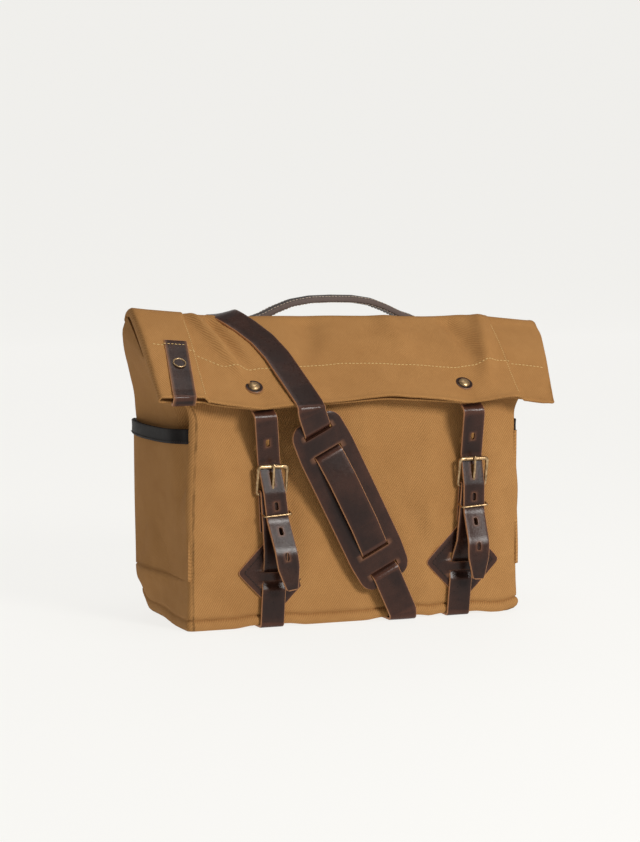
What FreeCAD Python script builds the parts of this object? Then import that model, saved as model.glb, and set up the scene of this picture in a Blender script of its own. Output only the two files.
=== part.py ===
import FreeCAD, Part
import math
import os

from FreeCAD import Placement, Rotation, Vector

# A canvas roll-top saddlebag with leather straps, in millimetres.
# X runs along the width, the front faces -Y, +Z is up, and the origin is on the surface
# that the bag stands on, under the middle of its base.

os.makedirs("parts", exist_ok=True)
doc = FreeCAD.newDocument("saddlebag")

SIZES = [
    ("body_width", 360, "outside width of the base"),
    ("body_depth", 150, "outside depth of the base"),
    ("cloth", 2, "thickness of the canvas"),
    ("leather", 2.8, "thickness of the straps"),
    ("ridge_y", 6, "fold line of the flap, front to back"),
    ("ridge_height", 292, "fold line of the flap, above the surface"),
    ("flap_slope", 37.5, "fall of the closed flap below the horizontal, degrees"),
    ("flap_length", 131, "ridge to lower edge"),
    ("flap_width", 430, "width of the flattened roll-top"),
    ("throat_length", 48, "opening below the flap, measured down the slope"),
    ("back_height", 212, "height at which the back starts to lean forward"),
    ("wrap_height", 50, "height of the base cloth up the sides"),
    ("welt_depth", 1.6, "thickness of the bottom seam"),
    ("welt_height", 5, "height of the bottom seam"),
    ("pocket_height", 136, "side pocket, floor to binding"),
    ("pocket_bulge", 14, "side pocket, how far it stands out"),
    ("binding_height", 15, "leather edge of a side pocket"),
    ("binding_depth", 3.6, "thickness of that edge"),
    ("strap_width", 25, "buckle straps"),
    ("billet_width", 24, "upper closure straps"),
    ("sling_width", 30, "shoulder strap"),
    ("patch_side", 60, "diamond patch, side of the square"),
    ("bridge_height", 10, "leather left between the two slots of a patch"),
    ("window_width", 28, "slots of a patch, side to side"),
    ("bar_out", 80.3, "hinge bar of a buckle, in front of the middle"),
    ("bar_height", 134, "hinge bar of a buckle, above the surface"),
    ("frame_width", 30.4, "buckle frame between wire centres"),
    ("frame_height", 28.4, "buckle frame between wire centres"),
    ("frame_wire", 1.75, "radius of the buckle wire"),
    ("frame_lean", 11.5, "forward lean of the buckle, degrees"),
    ("keeper_wire", 0.9, "radius of the keeper wire"),
    ("prong_width", 2.8, "width of a prong"),
    ("eye_width", 4.4, "width of the eye of a prong"),
    ("slot_width", 5.2, "slot for the prong in a buckle strap"),
    ("post_radius", 2, "shank of a stud"),
    ("cap_radius", 5.5, "dome of a stud"),
    ("washer_radius", 9.3, "leather washer of a stud"),
    ("washer_depth", 1.8, "thickness of that washer"),
    ("burr_radius", 5, "brass burr behind a stud"),
    ("burr_depth", 1.2, "thickness of that burr"),
    ("tab_width", 24, "leather tab at the left end of the flap"),
    ("tab_depth", 1.8, "thickness of that tab"),
    ("tab_ring_radius", 6.2, "ring on that tab"),
    ("tab_ring_wire", 0.9, "radius of the ring's wire"),
    ("pad_width", 60, "shoulder pad"),
    ("pad_length", 190, "shoulder pad"),
    ("pad_depth", 3.5, "thickness of the shoulder pad"),
    ("pad_tilt", 28, "slant of the shoulder strap across the front, degrees"),
    ("pad_lean", 4.8, "lean of the shoulder pad away from the front, degrees"),
    ("handle_width", 20, "width of the handle strap"),
    ("handle_depth", 5, "thickness of the handle strap"),
    ("handle_span", 206, "distance between the ends of the handle"),
    ("lug_width", 6, "hinge lug of the handle"),
    ("pin_radius", 2.4, "hinge pin of the handle"),
    ("pin_room", 0.05, "running clearance round that pin"),
    ("foot_depth", 2, "brass plate at each end of the handle"),
    ("ring_width", 36, "strap ring between wire centres"),
    ("ring_height", 14, "strap ring between wire centres"),
]

sheet = doc.addObject("Spreadsheet::Sheet", "Sizes")
for row, (alias, value, meaning) in enumerate(SIZES, start=1):
    sheet.set(f"A{row}", meaning)
    sheet.set(f"B{row}", str(value))
    sheet.setAlias(f"B{row}", alias)
doc.recompute()


def size(alias):
    return float(sheet.get(alias))


CLOTH = size("cloth")
LEATHER = size("leather")
HALF_DEPTH = size("body_depth") / 2
GUSSET_FACE = size("body_width") / 2 - CLOTH
BASE_TOP = LEATHER + CLOTH
RIDGE = Vector(size("ridge_y"), size("ridge_height"), 0)
SLOPE = math.radians(size("flap_slope"))
DOWN_FLAP = Vector(-math.cos(SLOPE), -math.sin(SLOPE), 0)
OFF_FLAP = Vector(-math.sin(SLOPE), math.cos(SLOPE), 0)
GAP = 0.3
BORE_ROOM = 0.05
HAIR = 0.01
SIDES = (("left", -1), ("right", 1))

# GAP parts pieces that only lie on each other, BORE_ROOM is the running clearance of a
# bore, and HAIR keeps a corner radius just off the size at which its arc would vanish.

# Heights of the layers of the roll-top above the cloth of the front slope.
ROOT_LEVEL = 1.7
INNER_LEVEL = 4.8
OUTER_LEVEL = 9.9
FLAP_TOP = OUTER_LEVEL + CLOTH

STRAP_X = {"left": -96, "right": 118}
STUD_X = {"left": -112, "right": 114}
STUD_REACH = 101

nodes = []


# ---------------------------------------------------------------- outlines

def left_of(direction):
    return Vector(-direction.y, direction.x, 0)


def as_path(points):
    return [(p.x, p.y) for p in points]


def band_side(points, radii, shift):
    """One side of a band: the path moved sideways by shift, with its corners rounded."""
    first = (points[1] - points[0]).normalize()
    start = points[0] + left_of(first) * shift
    pieces = []
    corners = zip(points, points[1:], points[2:], radii)
    for before, corner, after, radius in corners:
        into = (corner - before).normalize()
        out = (after - corner).normalize()
        turning = 1 if into.cross(out).z > 0 else -1
        reach = radius * math.tan(into.getAngle(out) / 2)
        enter = corner - into * reach + left_of(into) * shift
        leave = corner + out * reach + left_of(out) * shift
        centre = corner - into * reach + left_of(into) * radius * turning
        outward = (left_of(into) + left_of(out)).normalize() * -turning
        middle = centre + outward * (radius - turning * shift)
        if (enter - start).Length > 0.001:
            pieces.append(Part.LineSegment(start, enter))
        pieces.append(Part.Arc(enter, middle, leave))
        start = leave
    last = (points[-1] - points[-2]).normalize()
    finish = points[-1] + left_of(last) * shift
    pieces.append(Part.LineSegment(start, finish))
    return pieces


def band(path, thickness, radii):
    """Closed outline of a band of even thickness along a path with rounded corners."""
    points = [Vector(a, b, 0) for a, b in path]
    if not isinstance(radii, (list, tuple)):
        radii = [radii] * (len(points) - 2)
    one = band_side(points, radii, thickness / 2)
    other = band_side(points, radii, -thickness / 2)
    caps = [Part.LineSegment(one[0].StartPoint, other[0].StartPoint)]
    caps.append(Part.LineSegment(one[-1].EndPoint, other[-1].EndPoint))
    return one + other + caps


def polygon(points):
    corners = [Vector(a, b, 0) for a, b in points]
    return [Part.LineSegment(a, b) for a, b in zip(corners, corners[1:] + corners[:1])]


def rounded_rectangle(width, height, radius, middle=(0, 0)):
    """Outline of a rectangle with round corners, starting half way up its right side."""
    x, z = width / 2, height / 2
    cx, cz = middle
    path = [(x, 0), (x, z), (-x, z), (-x, -z), (x, -z), (x, 0)]
    return band_side([Vector(a + cx, b + cz, 0) for a, b in path], [radius] * 4, 0)


def slot(width, height, middle):
    """Upright or lying slot with half-round ends."""
    radius = min(width, height) / 2 - HAIR
    return rounded_rectangle(width, height, radius, middle)


# ---------------------------------------------------------------- features

def new_body(label, placement=None):
    body = doc.addObject("PartDesign::Body", label)
    body.Label = label
    if placement is not None:
        body.Placement = placement
    nodes.append(body)
    return body


def new_sketch(body, role, outline, lift=0):
    """Sketch on one of the body's own origin planes, raised along its normal by lift."""
    sketch = body.newObject("Sketcher::SketchObject", f"{body.Label}_sketch")
    plane = next(p for p in body.Origin.OriginFeatures if p.Role == role)
    sketch.AttachmentSupport = [(plane, "")]
    sketch.MapMode = "FlatFace"
    sketch.AttachmentOffset = Placement(Vector(0, 0, lift), Rotation())
    sketch.addGeometry(outline, False)
    return sketch


def pad(body, role, outline, length, lift=0):
    """Pad with the sketch plane at its middle; length is a formula in the sheet's names."""
    feature = body.newObject("PartDesign::Pad", f"{body.Label}_pad")
    feature.Profile = new_sketch(body, role, outline, lift)
    feature.Midplane = True
    feature.setExpression("Length", length)
    doc.recompute()
    return feature


def pocket(body, role, outline, lift=0, length=None):
    """Cut both ways from the sketch plane, right through or over a length in all."""
    before = body.Shape.Volume
    feature = body.newObject("PartDesign::Pocket", f"{body.Label}_pocket")
    feature.Profile = new_sketch(body, role, outline, lift)
    feature.Midplane = True
    if length is None:
        feature.Type = "ThroughAll"
    else:
        feature.Length = length
    doc.recompute()
    if body.Shape.Volume >= before - 0.01:
        raise RuntimeError(f"the pocket in {body.Label} cuts nothing")
    return feature


def revolve(body, outline):
    """Turn a half outline, radius across and height up, about the body's own Z axis."""
    feature = body.newObject("PartDesign::Revolution", f"{body.Label}_turn")
    sketch = new_sketch(body, "YZ_Plane", outline)
    feature.Profile = sketch
    feature.ReferenceAxis = (sketch, ["V_Axis"])
    feature.Angle = 360
    doc.recompute()
    return feature


def wire_loop(body, width, height, corner, radius):
    """Closed rectangular loop of round wire in the body's XZ plane, middle at the origin."""
    spine = new_sketch(body, "XZ_Plane", rounded_rectangle(width, height, corner))
    section = body.newObject("Sketcher::SketchObject", f"{body.Label}_section")
    plane = next(p for p in body.Origin.OriginFeatures if p.Role == "XY_Plane")
    section.AttachmentSupport = [(plane, "")]
    section.MapMode = "FlatFace"
    section.addGeometry(Part.Circle(Vector(width / 2, 0, 0), Vector(0, 0, 1), radius), False)
    feature = body.newObject("PartDesign::AdditivePipe", f"{body.Label}_pipe")
    feature.Profile = section
    feature.Spine = spine
    doc.recompute()
    return feature


def along_x(label, outline, length, x=0):
    """Piece of constant section, drawn in the YZ plane and padded across the bag."""
    body = new_body(label, Placement(Vector(x, 0, 0), Rotation()))
    pad(body, "YZ_Plane", outline, length)
    return body


# The flap's own frame: its origin is on the ridge, -Y runs down the flap, +Z stands off it.
FLAP_FRAME = Placement(
    Vector(0, RIDGE.x, RIDGE.y), Rotation(Vector(1, 0, 0), size("flap_slope")))


def on_flap(x=0, reach=0, level=0):
    """Placement of a piece on the flap, reach down the slope and level above the cloth."""
    return FLAP_FRAME.multiply(Placement(Vector(x, -reach, level), Rotation()))


def flap_point(reach, level):
    return RIDGE + DOWN_FLAP * reach + OFF_FLAP * level


# ---------------------------------------------------------------- canvas body

# Middle of the front's cloth: up the front, then back along the slope to the throat.
FRONT_Y = -HALF_DEPTH + CLOTH / 2
SLOPE_START = (FRONT_Y - RIDGE.x + OFF_FLAP.x * CLOTH / 2) / DOWN_FLAP.x
FRONT_PATH = [
    Vector(FRONT_Y, BASE_TOP, 0),
    flap_point(SLOPE_START, -CLOTH / 2),
    flap_point(size("throat_length"), -CLOTH / 2),
]

# Middle of the back's cloth: up the back, then forward to pass just outside the ridge.
BACK_CORNER = Vector(HALF_DEPTH - CLOTH / 2, size("back_height"), 0)
RIDGE_CLEAR = FLAP_TOP + GAP + CLOTH / 2
TO_RIDGE = RIDGE - BACK_CORNER
BACK_HEADING = math.atan2(TO_RIDGE.y, TO_RIDGE.x) - math.asin(RIDGE_CLEAR / TO_RIDGE.Length)
UP_BACK = Vector(math.cos(BACK_HEADING), math.sin(BACK_HEADING), 0)
BACK_LEAN_LENGTH = math.sqrt(TO_RIDGE.Length ** 2 - RIDGE_CLEAR ** 2)
BACK_TOP = BACK_CORNER + UP_BACK * BACK_LEAN_LENGTH
OFF_BACK = Vector(UP_BACK.y, -UP_BACK.x, 0)
BACK_PATH = [Vector(BACK_CORNER.x, BASE_TOP, 0), BACK_CORNER, BACK_TOP]
CORNER_RADIUS = 12
GUSSET_SHORT = 24


def back_point(down, off):
    """Point beside the leaning part of the back: down from its top, off its outside face."""
    return BACK_TOP - UP_BACK * down + OFF_BACK * (CLOTH / 2 + off)


def build_panels():
    across = "Sizes.body_width - 2 * Sizes.cloth"
    along_x("front_panel", band(as_path(FRONT_PATH), CLOTH, CORNER_RADIUS), across)
    along_x("back_panel", band(as_path(BACK_PATH), CLOTH, CORNER_RADIUS), across)


def build_gussets():
    front = band_side(FRONT_PATH, [CORNER_RADIUS], -CLOTH / 2)
    short_back = BACK_PATH[:2] + [BACK_TOP - UP_BACK * GUSSET_SHORT]
    back = band_side(short_back, [CORNER_RADIUS], CLOTH / 2)
    bottom = Part.LineSegment(front[0].StartPoint, back[0].StartPoint)
    top = Part.LineSegment(front[-1].EndPoint, back[-1].EndPoint)
    for side, sign in SIDES:
        outline = front + back + [bottom, top]
        along_x(f"{side}_gusset", outline, "Sizes.cloth", sign * (GUSSET_FACE - CLOTH / 2))


def build_base():
    body = new_body("base_panel")
    x = size("body_width") / 2 - CLOTH / 2
    z = LEATHER + CLOTH / 2
    top = size("wrap_height")
    outline = band([(-x, top), (-x, z), (x, z), (x, top)], CLOTH, CLOTH / 2 + HAIR)
    pad(body, "XZ_Plane", outline, "Sizes.body_depth")
    for label, y in (("front_welt", -HALF_DEPTH - size("welt_depth")), ("back_welt", HALF_DEPTH)):
        welt = doc.addObject("Part::Box", label)
        welt.Label = label
        welt.setExpression("Length", "Sizes.body_width")
        welt.setExpression("Width", "Sizes.welt_depth")
        welt.setExpression("Height", "Sizes.welt_height")
        welt.Placement = Placement(Vector(-size("body_width") / 2, y, LEATHER), Rotation())
        nodes.append(welt)


def size_of(formula):
    return size(formula.replace("Sizes.", ""))


def bulged_wall(body, thickness, height, floor=0):
    """Wall that bows out from the gusset, with an optional floor, standing on local Z = 0."""
    bulge = size("pocket_bulge")
    half = HALF_DEPTH - CLOTH
    ends = Vector(0, -half, 0), Vector(0, half, 0)
    outer = [Part.Arc(ends[0], Vector(bulge, 0, 0), ends[1]), Part.LineSegment(*ends)]
    pad(body, "XY_Plane", outer, height, size_of(height) / 2)
    back = Vector(-1, 0, 0)
    inner_ends = ends[0] + Vector(0, thickness * 2, 0), ends[1] - Vector(0, thickness * 2, 0)
    crown = Vector(bulge - thickness, 0, 0)
    inner = [
        Part.Arc(inner_ends[0], crown, inner_ends[1]),
        Part.LineSegment(inner_ends[1], inner_ends[1] + back),
        Part.LineSegment(inner_ends[1] + back, inner_ends[0] + back),
        Part.LineSegment(inner_ends[0] + back, inner_ends[0]),
    ]
    cut = body.newObject("PartDesign::Pocket", f"{body.Label}_room")
    cut.Profile = new_sketch(body, "XY_Plane", inner, floor)
    cut.Type = "ThroughAll"
    cut.Reversed = True
    doc.recompute()


def build_pockets():
    for side, sign in SIDES:
        turn = Rotation(Vector(0, 0, 1), 0 if sign > 0 else 180)
        foot = Vector(sign * GUSSET_FACE, 0, size("wrap_height"))
        wall = new_body(f"{side}_pocket", Placement(foot, turn))
        bulged_wall(wall, CLOTH, "Sizes.pocket_height", CLOTH)
        rim = foot + Vector(0, 0, size("pocket_height"))
        binding = new_body(f"{side}_pocket_binding", Placement(rim, turn))
        bulged_wall(binding, size("binding_depth"), "Sizes.binding_height")


# ---------------------------------------------------------------- roll-top flap

INNER_SHORT = 5

def post_bore(x):
    """Hole for the shank of a stud, x across the piece that it goes through."""
    return Part.Circle(Vector(x, -STUD_REACH, 0), Vector(0, 0, 1), size("post_radius") + BORE_ROOM)


def flap_layer(label, level, reach):
    """One wall of the flattened roll-top: a quarter turn round the ridge, then the slope."""
    middle = level + CLOTH / 2
    path = [(middle, 0), (middle, middle), (-reach, middle)]
    body = new_body(label, FLAP_FRAME)
    pad(body, "YZ_Plane", band(path, CLOTH, middle - HAIR), "Sizes.flap_width")
    for side, _ in SIDES:
        pocket(body, "XY_Plane", [post_bore(STUD_X[side])])


def build_flap():
    inner_length = size("flap_length") - INNER_SHORT
    flap_layer("flap_outer", OUTER_LEVEL, size("flap_length"))
    flap_layer("flap_inner", INNER_LEVEL, inner_length)
    for side, sign in SIDES:
        ear = doc.addObject("Part::Box", f"{side}_flap_side")
        ear.Label = f"{side}_flap_side"
        ear.setExpression("Length", "Sizes.cloth")
        ear.setExpression("Width", f"Sizes.flap_length - {INNER_SHORT}")
        ear.Height = FLAP_TOP - INNER_LEVEL
        edge = size("flap_width") / 2
        x = edge if sign > 0 else -edge - CLOTH
        ear.Placement = on_flap(x, inner_length, INNER_LEVEL)
        nodes.append(ear)


TAB_X = -187
TAB_TOP = 48
TAB_RING = 79
TAB_TUCK = 112
FOLD_ROOM = 0.2


def build_name_tab():
    """Blank leather tab folded round the lower edge of the outer layer, with a plain ring."""
    depth = size("tab_depth")
    over = FLAP_TOP + depth / 2
    under = OUTER_LEVEL - depth / 2
    end = -(size("flap_length") + depth / 2 + FOLD_ROOM)
    path = [(-TAB_TOP, over), (end, over), (end, under), (-TAB_TUCK, under)]
    body = new_body("name_tab", on_flap(TAB_X))
    pad(body, "YZ_Plane", band(path, depth, (depth + FOLD_ROOM) / 2), "Sizes.tab_width")
    ring = doc.addObject("Part::Torus", "tab_ring")
    ring.Label = "tab_ring"
    ring.setExpression("Radius1", "Sizes.tab_ring_radius")
    ring.setExpression("Radius2", "Sizes.tab_ring_wire")
    ring.Placement = on_flap(TAB_X, TAB_RING, FLAP_TOP + depth + size("tab_ring_wire"))
    nodes.append(ring)


# Points of a stud's dome: share of its radius, height above the washer.
DOME_RIM = (1, 0.8)
DOME_SHOULDER = (0.74, 2.3)
DOME_CROWN = (0.2, 3.2)


def build_studs():
    """Domed rivets through the flap and the root of each upper strap."""
    post = size("post_radius")
    cap = size("cap_radius")
    seat = FLAP_TOP + size("washer_depth")
    foot = ROOT_LEVEL - size("burr_depth") - GAP
    for side, _ in SIDES:
        stud = new_body(f"{side}_stud", on_flap(STUD_X[side], STUD_REACH))
        rim, shoulder, crown = (
            Vector(cap * share, seat + rise, 0) for share, rise in (DOME_RIM, DOME_SHOULDER, DOME_CROWN))
        corners = [crown, Vector(0, crown.y, 0), Vector(0, foot, 0), Vector(post, foot, 0)]
        corners += [Vector(post, seat, 0), Vector(cap, seat, 0), rim]
        outline = [Part.LineSegment(a, b) for a, b in zip(corners, corners[1:])]
        revolve(stud, outline + [Part.Arc(rim, shoulder, crown)])
        discs = (
            (f"{side}_stud_washer", "washer_radius", "washer_depth", FLAP_TOP),
            (f"{side}_stud_burr", "burr_radius", "burr_depth", ROOT_LEVEL - size("burr_depth")),
        )
        for label, radius, depth, level in discs:
            disc = new_body(label, on_flap(STUD_X[side], STUD_REACH, level))
            bore, rim_out, thick = post + BORE_ROOM, size(radius), size(depth)
            revolve(disc, polygon([(bore, 0), (rim_out, 0), (rim_out, thick), (bore, thick)]))


# ---------------------------------------------------------------- closure straps

BAR = Vector(-size("bar_out"), size("bar_height"), 0)
LOOP = size("frame_wire") + 0.15 + LEATHER / 2
MAIN_RUN = BAR.x - LOOP
RETURN_RUN = BAR.x + LOOP
BILLET_RUN = MAIN_RUN - LEATHER - GAP
FRONT_RUN = -HALF_DEPTH - size("welt_depth") - 1 - LEATHER / 2
BACK_RUN = HALF_DEPTH + size("welt_depth") + GAP + LEATHER / 2
PATCH_HEIGHT = 56
WINDOW_HEIGHT = 51
WINDOW_SIZE = 26
PATCH_DEPTH = 2.4
BRIDGE_OUT = 3.7
HOLE_TOP = 148
HOLE_PITCH = 25
STRAP_END = 190
PRONG_DEPTH = 2.4
EYE_WALL = 1.4
KEEPER_HEIGHT = 115
BILLET_TIP = 40
TIP_CUT = 14


def build_patches():
    """Diamond of leather with two slots; the band between them bows out over the strap."""
    face = -HALF_DEPTH - GAP / 3 - PATCH_DEPTH / 2
    for side, _ in SIDES:
        place = Placement(Vector(STRAP_X[side], face, PATCH_HEIGHT), Rotation())
        patch = new_body(f"{side}_patch", place)
        square = rounded_rectangle(size("patch_side"), size("patch_side"), 7)
        diamond = new_sketch(patch, "XZ_Plane", square)
        diamond.AttachmentOffset = Placement(Vector(), Rotation(Vector(0, 0, 1), 45))
        plate = patch.newObject("PartDesign::Pad", f"{side}_patch_pad")
        plate.Profile = diamond
        plate.Midplane = True
        plate.Length = PATCH_DEPTH
        doc.recompute()
        low = WINDOW_HEIGHT - PATCH_HEIGHT
        window = rounded_rectangle(size("window_width"), WINDOW_SIZE, 2, (0, low))
        pocket(patch, "XZ_Plane", window)
        half = size("window_width") / 2
        rise = [(half + 5, 0), (half + 1.2, 0), (half - 0.9, -BRIDGE_OUT)]
        path = [(-across, out) for across, out in rise] + rise[::-1]
        bridge = band(path, PATCH_DEPTH, 1.3)
        pad(patch, "XY_Plane", bridge, "Sizes.bridge_height", low)


def build_buckle_straps():
    """Straps from the back, under the base, through the patch and round the hinge bar."""
    behind = -HALF_DEPTH - GAP - LEATHER / 2
    turn = BAR.y + LOOP
    path = [
        (BACK_RUN, STRAP_END), (BACK_RUN, LEATHER / 2), (FRONT_RUN, LEATHER / 2), (FRONT_RUN, 39),
        (behind, 45.5), (behind, 56.5), (FRONT_RUN, 63), (MAIN_RUN, 78), (MAIN_RUN, turn),
        (RETURN_RUN, turn), (RETURN_RUN, 98),
    ]
    radii = [1.8, 1.8, 5, 5, 5, 5, 12, LOOP, LOOP]
    for side, _ in SIDES:
        outline = band(path, LEATHER, radii)
        strap = along_x(f"{side}_buckle_strap", outline, "Sizes.strap_width", STRAP_X[side])
        opening = slot(size("slot_width"), 14, (0, BAR.y + 1))
        pocket(strap, "XZ_Plane", opening, -BAR.x, 4 * LOOP)


def build_buckles():
    """Buckle frames, whose lower bar is the hinge, and the prongs that turn on the same bar."""
    height = size("frame_height")
    lean = Rotation(Vector(1, 0, 0), size("frame_lean"))
    for side, _ in SIDES:
        hinge = Placement(Vector(STRAP_X[side], BAR.x, BAR.y), lean)
        middle = hinge.multiply(Placement(Vector(0, 0, height / 2), Rotation()))
        frame = new_body(f"{side}_buckle_frame", middle)
        wire_loop(frame, size("frame_width"), height, 2.4, size("frame_wire"))
        prong = new_body(f"{side}_prong", hinge)
        eye = size("frame_wire") + BORE_ROOM
        rest = size("frame_wire") + 2 * BORE_ROOM + PRONG_DEPTH / 2
        path = [(-PRONG_DEPTH / 2, PRONG_DEPTH), (-rest, height - 3), (-rest, height + 2.2)]
        arm = band(path, PRONG_DEPTH, 20)
        pad(prong, "YZ_Plane", [Part.Circle(Vector(), Vector(0, 0, 1), eye + EYE_WALL)], "Sizes.eye_width")
        pad(prong, "YZ_Plane", arm, "Sizes.prong_width")
        pocket(prong, "YZ_Plane", [Part.Circle(Vector(), Vector(0, 0, 1), eye)])


def build_keepers():
    """Wire loops round the buckle strap and the hanging upper strap."""
    wire = size("keeper_wire")
    front = BILLET_RUN - LEATHER / 2 - GAP - wire
    back = BAR.x
    for side, _ in SIDES:
        middle = Vector(STRAP_X[side], (front + back) / 2, KEEPER_HEIGHT)
        keeper = new_body(f"{side}_keeper", Placement(middle, Rotation(Vector(1, 0, 0), 90)))
        wide = size("strap_width") + 2 * (wire + 0.7)
        wire_loop(keeper, wide, back - front, 2.5, wire)


def build_billets():
    """Upper straps: a short root riveted under the flap and the hanging, buckled strap."""
    level = ROOT_LEVEL + LEATHER / 2
    start = flap_point(124.6, level)
    bend = flap_point(134, level)
    lean = math.radians(size("frame_lean"))
    behind = size("frame_wire") + GAP + LEATHER / 2
    top_bar = BAR + Vector(-math.sin(lean), math.cos(lean), 0) * size("frame_height")
    under_bar = top_bar + Vector(math.cos(lean), math.sin(lean), 0) * behind
    path = [
        (start.x, start.y), (bend.x, bend.y), (under_bar.x + 0.5, under_bar.y + 3),
        (BILLET_RUN, BAR.y + 1), (BILLET_RUN, 109), (-101, 78), (-103, BILLET_TIP),
    ]
    radii = [8, 8, 14, 18, 30]
    half = size("billet_width") / 2
    high, low = BILLET_TIP + TIP_CUT - 2, BILLET_TIP - 2
    for side, _ in SIDES:
        outline = band(path, LEATHER, radii)
        billet = along_x(f"{side}_billet", outline, "Sizes.billet_width", STRAP_X[side])
        for count in range(-3, 2):
            tall = 16 if count == 0 else 9
            pocket(billet, "XZ_Plane", slot(4, tall, (0, HOLE_TOP + count * HOLE_PITCH)))
        for sign in (-1, 1):
            corner = [(half, high), (half + 1, high), (half + 1, low), (5, low)]
            pocket(billet, "XZ_Plane", polygon([(sign * across, up) for across, up in corner]))
        root_x = (STRAP_X[side] + STUD_X[side]) / 2
        root = new_body(f"{side}_billet_root", on_flap(root_x, 0, level))
        pad(root, "YZ_Plane", band([(-90, 0), (-124.2, 0)], LEATHER, []), "Sizes.billet_width")
        pocket(root, "XY_Plane", [post_bore(STUD_X[side] - root_x)])


# ---------------------------------------------------------------- shoulder strap

PAD_CENTRE = Vector(-15, -92, 125)
PAD_FRAME = Placement(
    PAD_CENTRE,
    Rotation(Vector(1, 0, 0), size("pad_lean")).multiply(
        Rotation(Vector(0, 1, 0), -size("pad_tilt"))))
SLOTS = (59, 81)
SLOT_SIZE = 11
SLING_UNDER_X = 46
SLING_RIDGE_X = -118
SLING_ON_FLAP = ((SLING_RIDGE_X, -12), (-110, 4), (-92, 30), (-79, 62), (-71, 95), (-66, 138))


def build_shoulder_pad():
    """Leather pad with two slots at each end for the shoulder strap."""
    body = new_body("shoulder_pad", PAD_FRAME)
    outline = rounded_rectangle(size("pad_width"), size("pad_length"), 12)
    pad(body, "XZ_Plane", outline, "Sizes.pad_depth")
    for reach in SLOTS:
        for sign in (-1, 1):
            opening = rounded_rectangle(size("sling_width") + 2, SLOT_SIZE, 2, (0, sign * reach))
            pocket(body, "XZ_Plane", opening)


def build_sling_front():
    """Front run of the shoulder strap, woven through the four slots of the pad."""
    over = -(size("pad_depth") / 2 + GAP + LEATHER / 2)
    near, far = SLOTS[0] - 3, SLOTS[1] + 3
    weave = [(over, far), (-over, far - 6), (-over, near + 6), (over, near), (over - 4, 25)]
    mirrored = [(out, -up) for out, up in reversed(weave)]
    path = [(over, 98)] + weave + mirrored + [(over, -126)]
    body = new_body("sling_front", PAD_FRAME)
    radii = [2] * (len(path) - 2)
    pad(body, "YZ_Plane", band(path, LEATHER, radii), "Sizes.sling_width")


def build_sling_over_flap():
    """Run of the shoulder strap across the closed flap, from the ridge to its lower edge."""
    body = new_body("sling_over_flap", on_flap(0, 0, FLAP_TOP + GAP + LEATHER / 2))
    half = size("sling_width") / 2
    middle = [Vector(x, -reach, 0) for x, reach in SLING_ON_FLAP]
    left, right = [], []
    for before, here, after in zip(middle[:1] + middle, middle, middle[1:] + middle[-1:]):
        aside = left_of((after - before).normalize()) * half
        left.append((here.x - aside.x, here.y - aside.y))
        right.append((here.x + aside.x, here.y + aside.y))
    corners = left + right[::-1]
    pad(body, "XY_Plane", polygon(corners), "Sizes.leather")


RING_LAYER = GAP + LEATHER / 2
RING_LEVEL = RING_LAYER + LOOP
RING_DOWN = 40
LOWER_RING_Z = 44
TONGUE = 14
TAB_LEG = 26
RIDGE_ANGLE = math.radians(75)


def build_sling_back():
    """Hidden runs: over the ridge to the upper ring, and under the base to the lower one."""
    clear = RIDGE_CLEAR + CLOTH / 2 + GAP + LEATHER / 2
    outward = Vector(math.cos(RIDGE_ANGLE), math.sin(RIDGE_ANGLE), 0)
    start = RIDGE + outward * clear
    bend = start - left_of(outward) * 5.5
    turn = RING_DOWN + LOOP
    points = [start, bend, back_point(4, RING_LAYER), back_point(turn, RING_LAYER)]
    points.append(back_point(turn, RING_LAYER + 2 * LOOP))
    points.append(back_point(RING_DOWN - TONGUE, RING_LAYER + 2 * LOOP))
    outline = band(as_path(points), LEATHER, [6, 6, LOOP, LOOP])
    along_x("sling_back_top", outline, "Sizes.sling_width", SLING_RIDGE_X)
    near = BACK_RUN
    far = BACK_RUN + 2 * LOOP
    top = LOWER_RING_Z + LOOP
    path = [(-84, LEATHER / 2), (near, LEATHER / 2), (near, top), (far, top)]
    path.append((far, LOWER_RING_Z - TONGUE))
    outline = band(path, LEATHER, [1.8, LOOP, LOOP])
    along_x("sling_under", outline, "Sizes.sling_width", SLING_UNDER_X)


def build_strap_rings():
    """Rectangular rings on the back, each held by a doubled leather tab."""
    wire, tall = size("frame_wire"), size("ring_height")
    width = size("ring_width")
    centre = back_point(RING_DOWN + tall / 2, RING_LEVEL)
    lean = math.degrees(math.atan2(OFF_BACK.y, OFF_BACK.x))
    upper = Placement(Vector(SLING_RIDGE_X, centre.x, centre.y), Rotation(Vector(1, 0, 0), lean))
    lower_y = BACK_RUN + LOOP
    lower = Placement(Vector(SLING_UNDER_X, lower_y, LOWER_RING_Z + tall / 2), Rotation())
    for label, place in (("upper_ring", upper), ("lower_ring", lower)):
        wire_loop(new_body(label, place), width, tall, 3.5, wire)
    turn = RING_DOWN + tall - LOOP
    corners = ((TAB_LEG, 0), (0, 0), (0, 2 * LOOP), (TAB_LEG, 2 * LOOP))
    points = [back_point(turn + down, RING_LAYER + out) for down, out in corners]
    outline = band(as_path(points), LEATHER, LOOP)
    along_x("upper_ring_tab", outline, "Sizes.sling_width", SLING_RIDGE_X)
    top = LOWER_RING_Z + tall - LOOP
    path = [(BACK_RUN + out, top + up) for up, out in corners]
    along_x("lower_ring_tab", band(path, LEATHER, LOOP), "Sizes.sling_width", SLING_UNDER_X)


# ---------------------------------------------------------------- handle

HANDLE_X = 12
HANDLE_RISE = 28
PIVOT_DOWN = 13
PIVOT = back_point(PIVOT_DOWN, 9)


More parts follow.
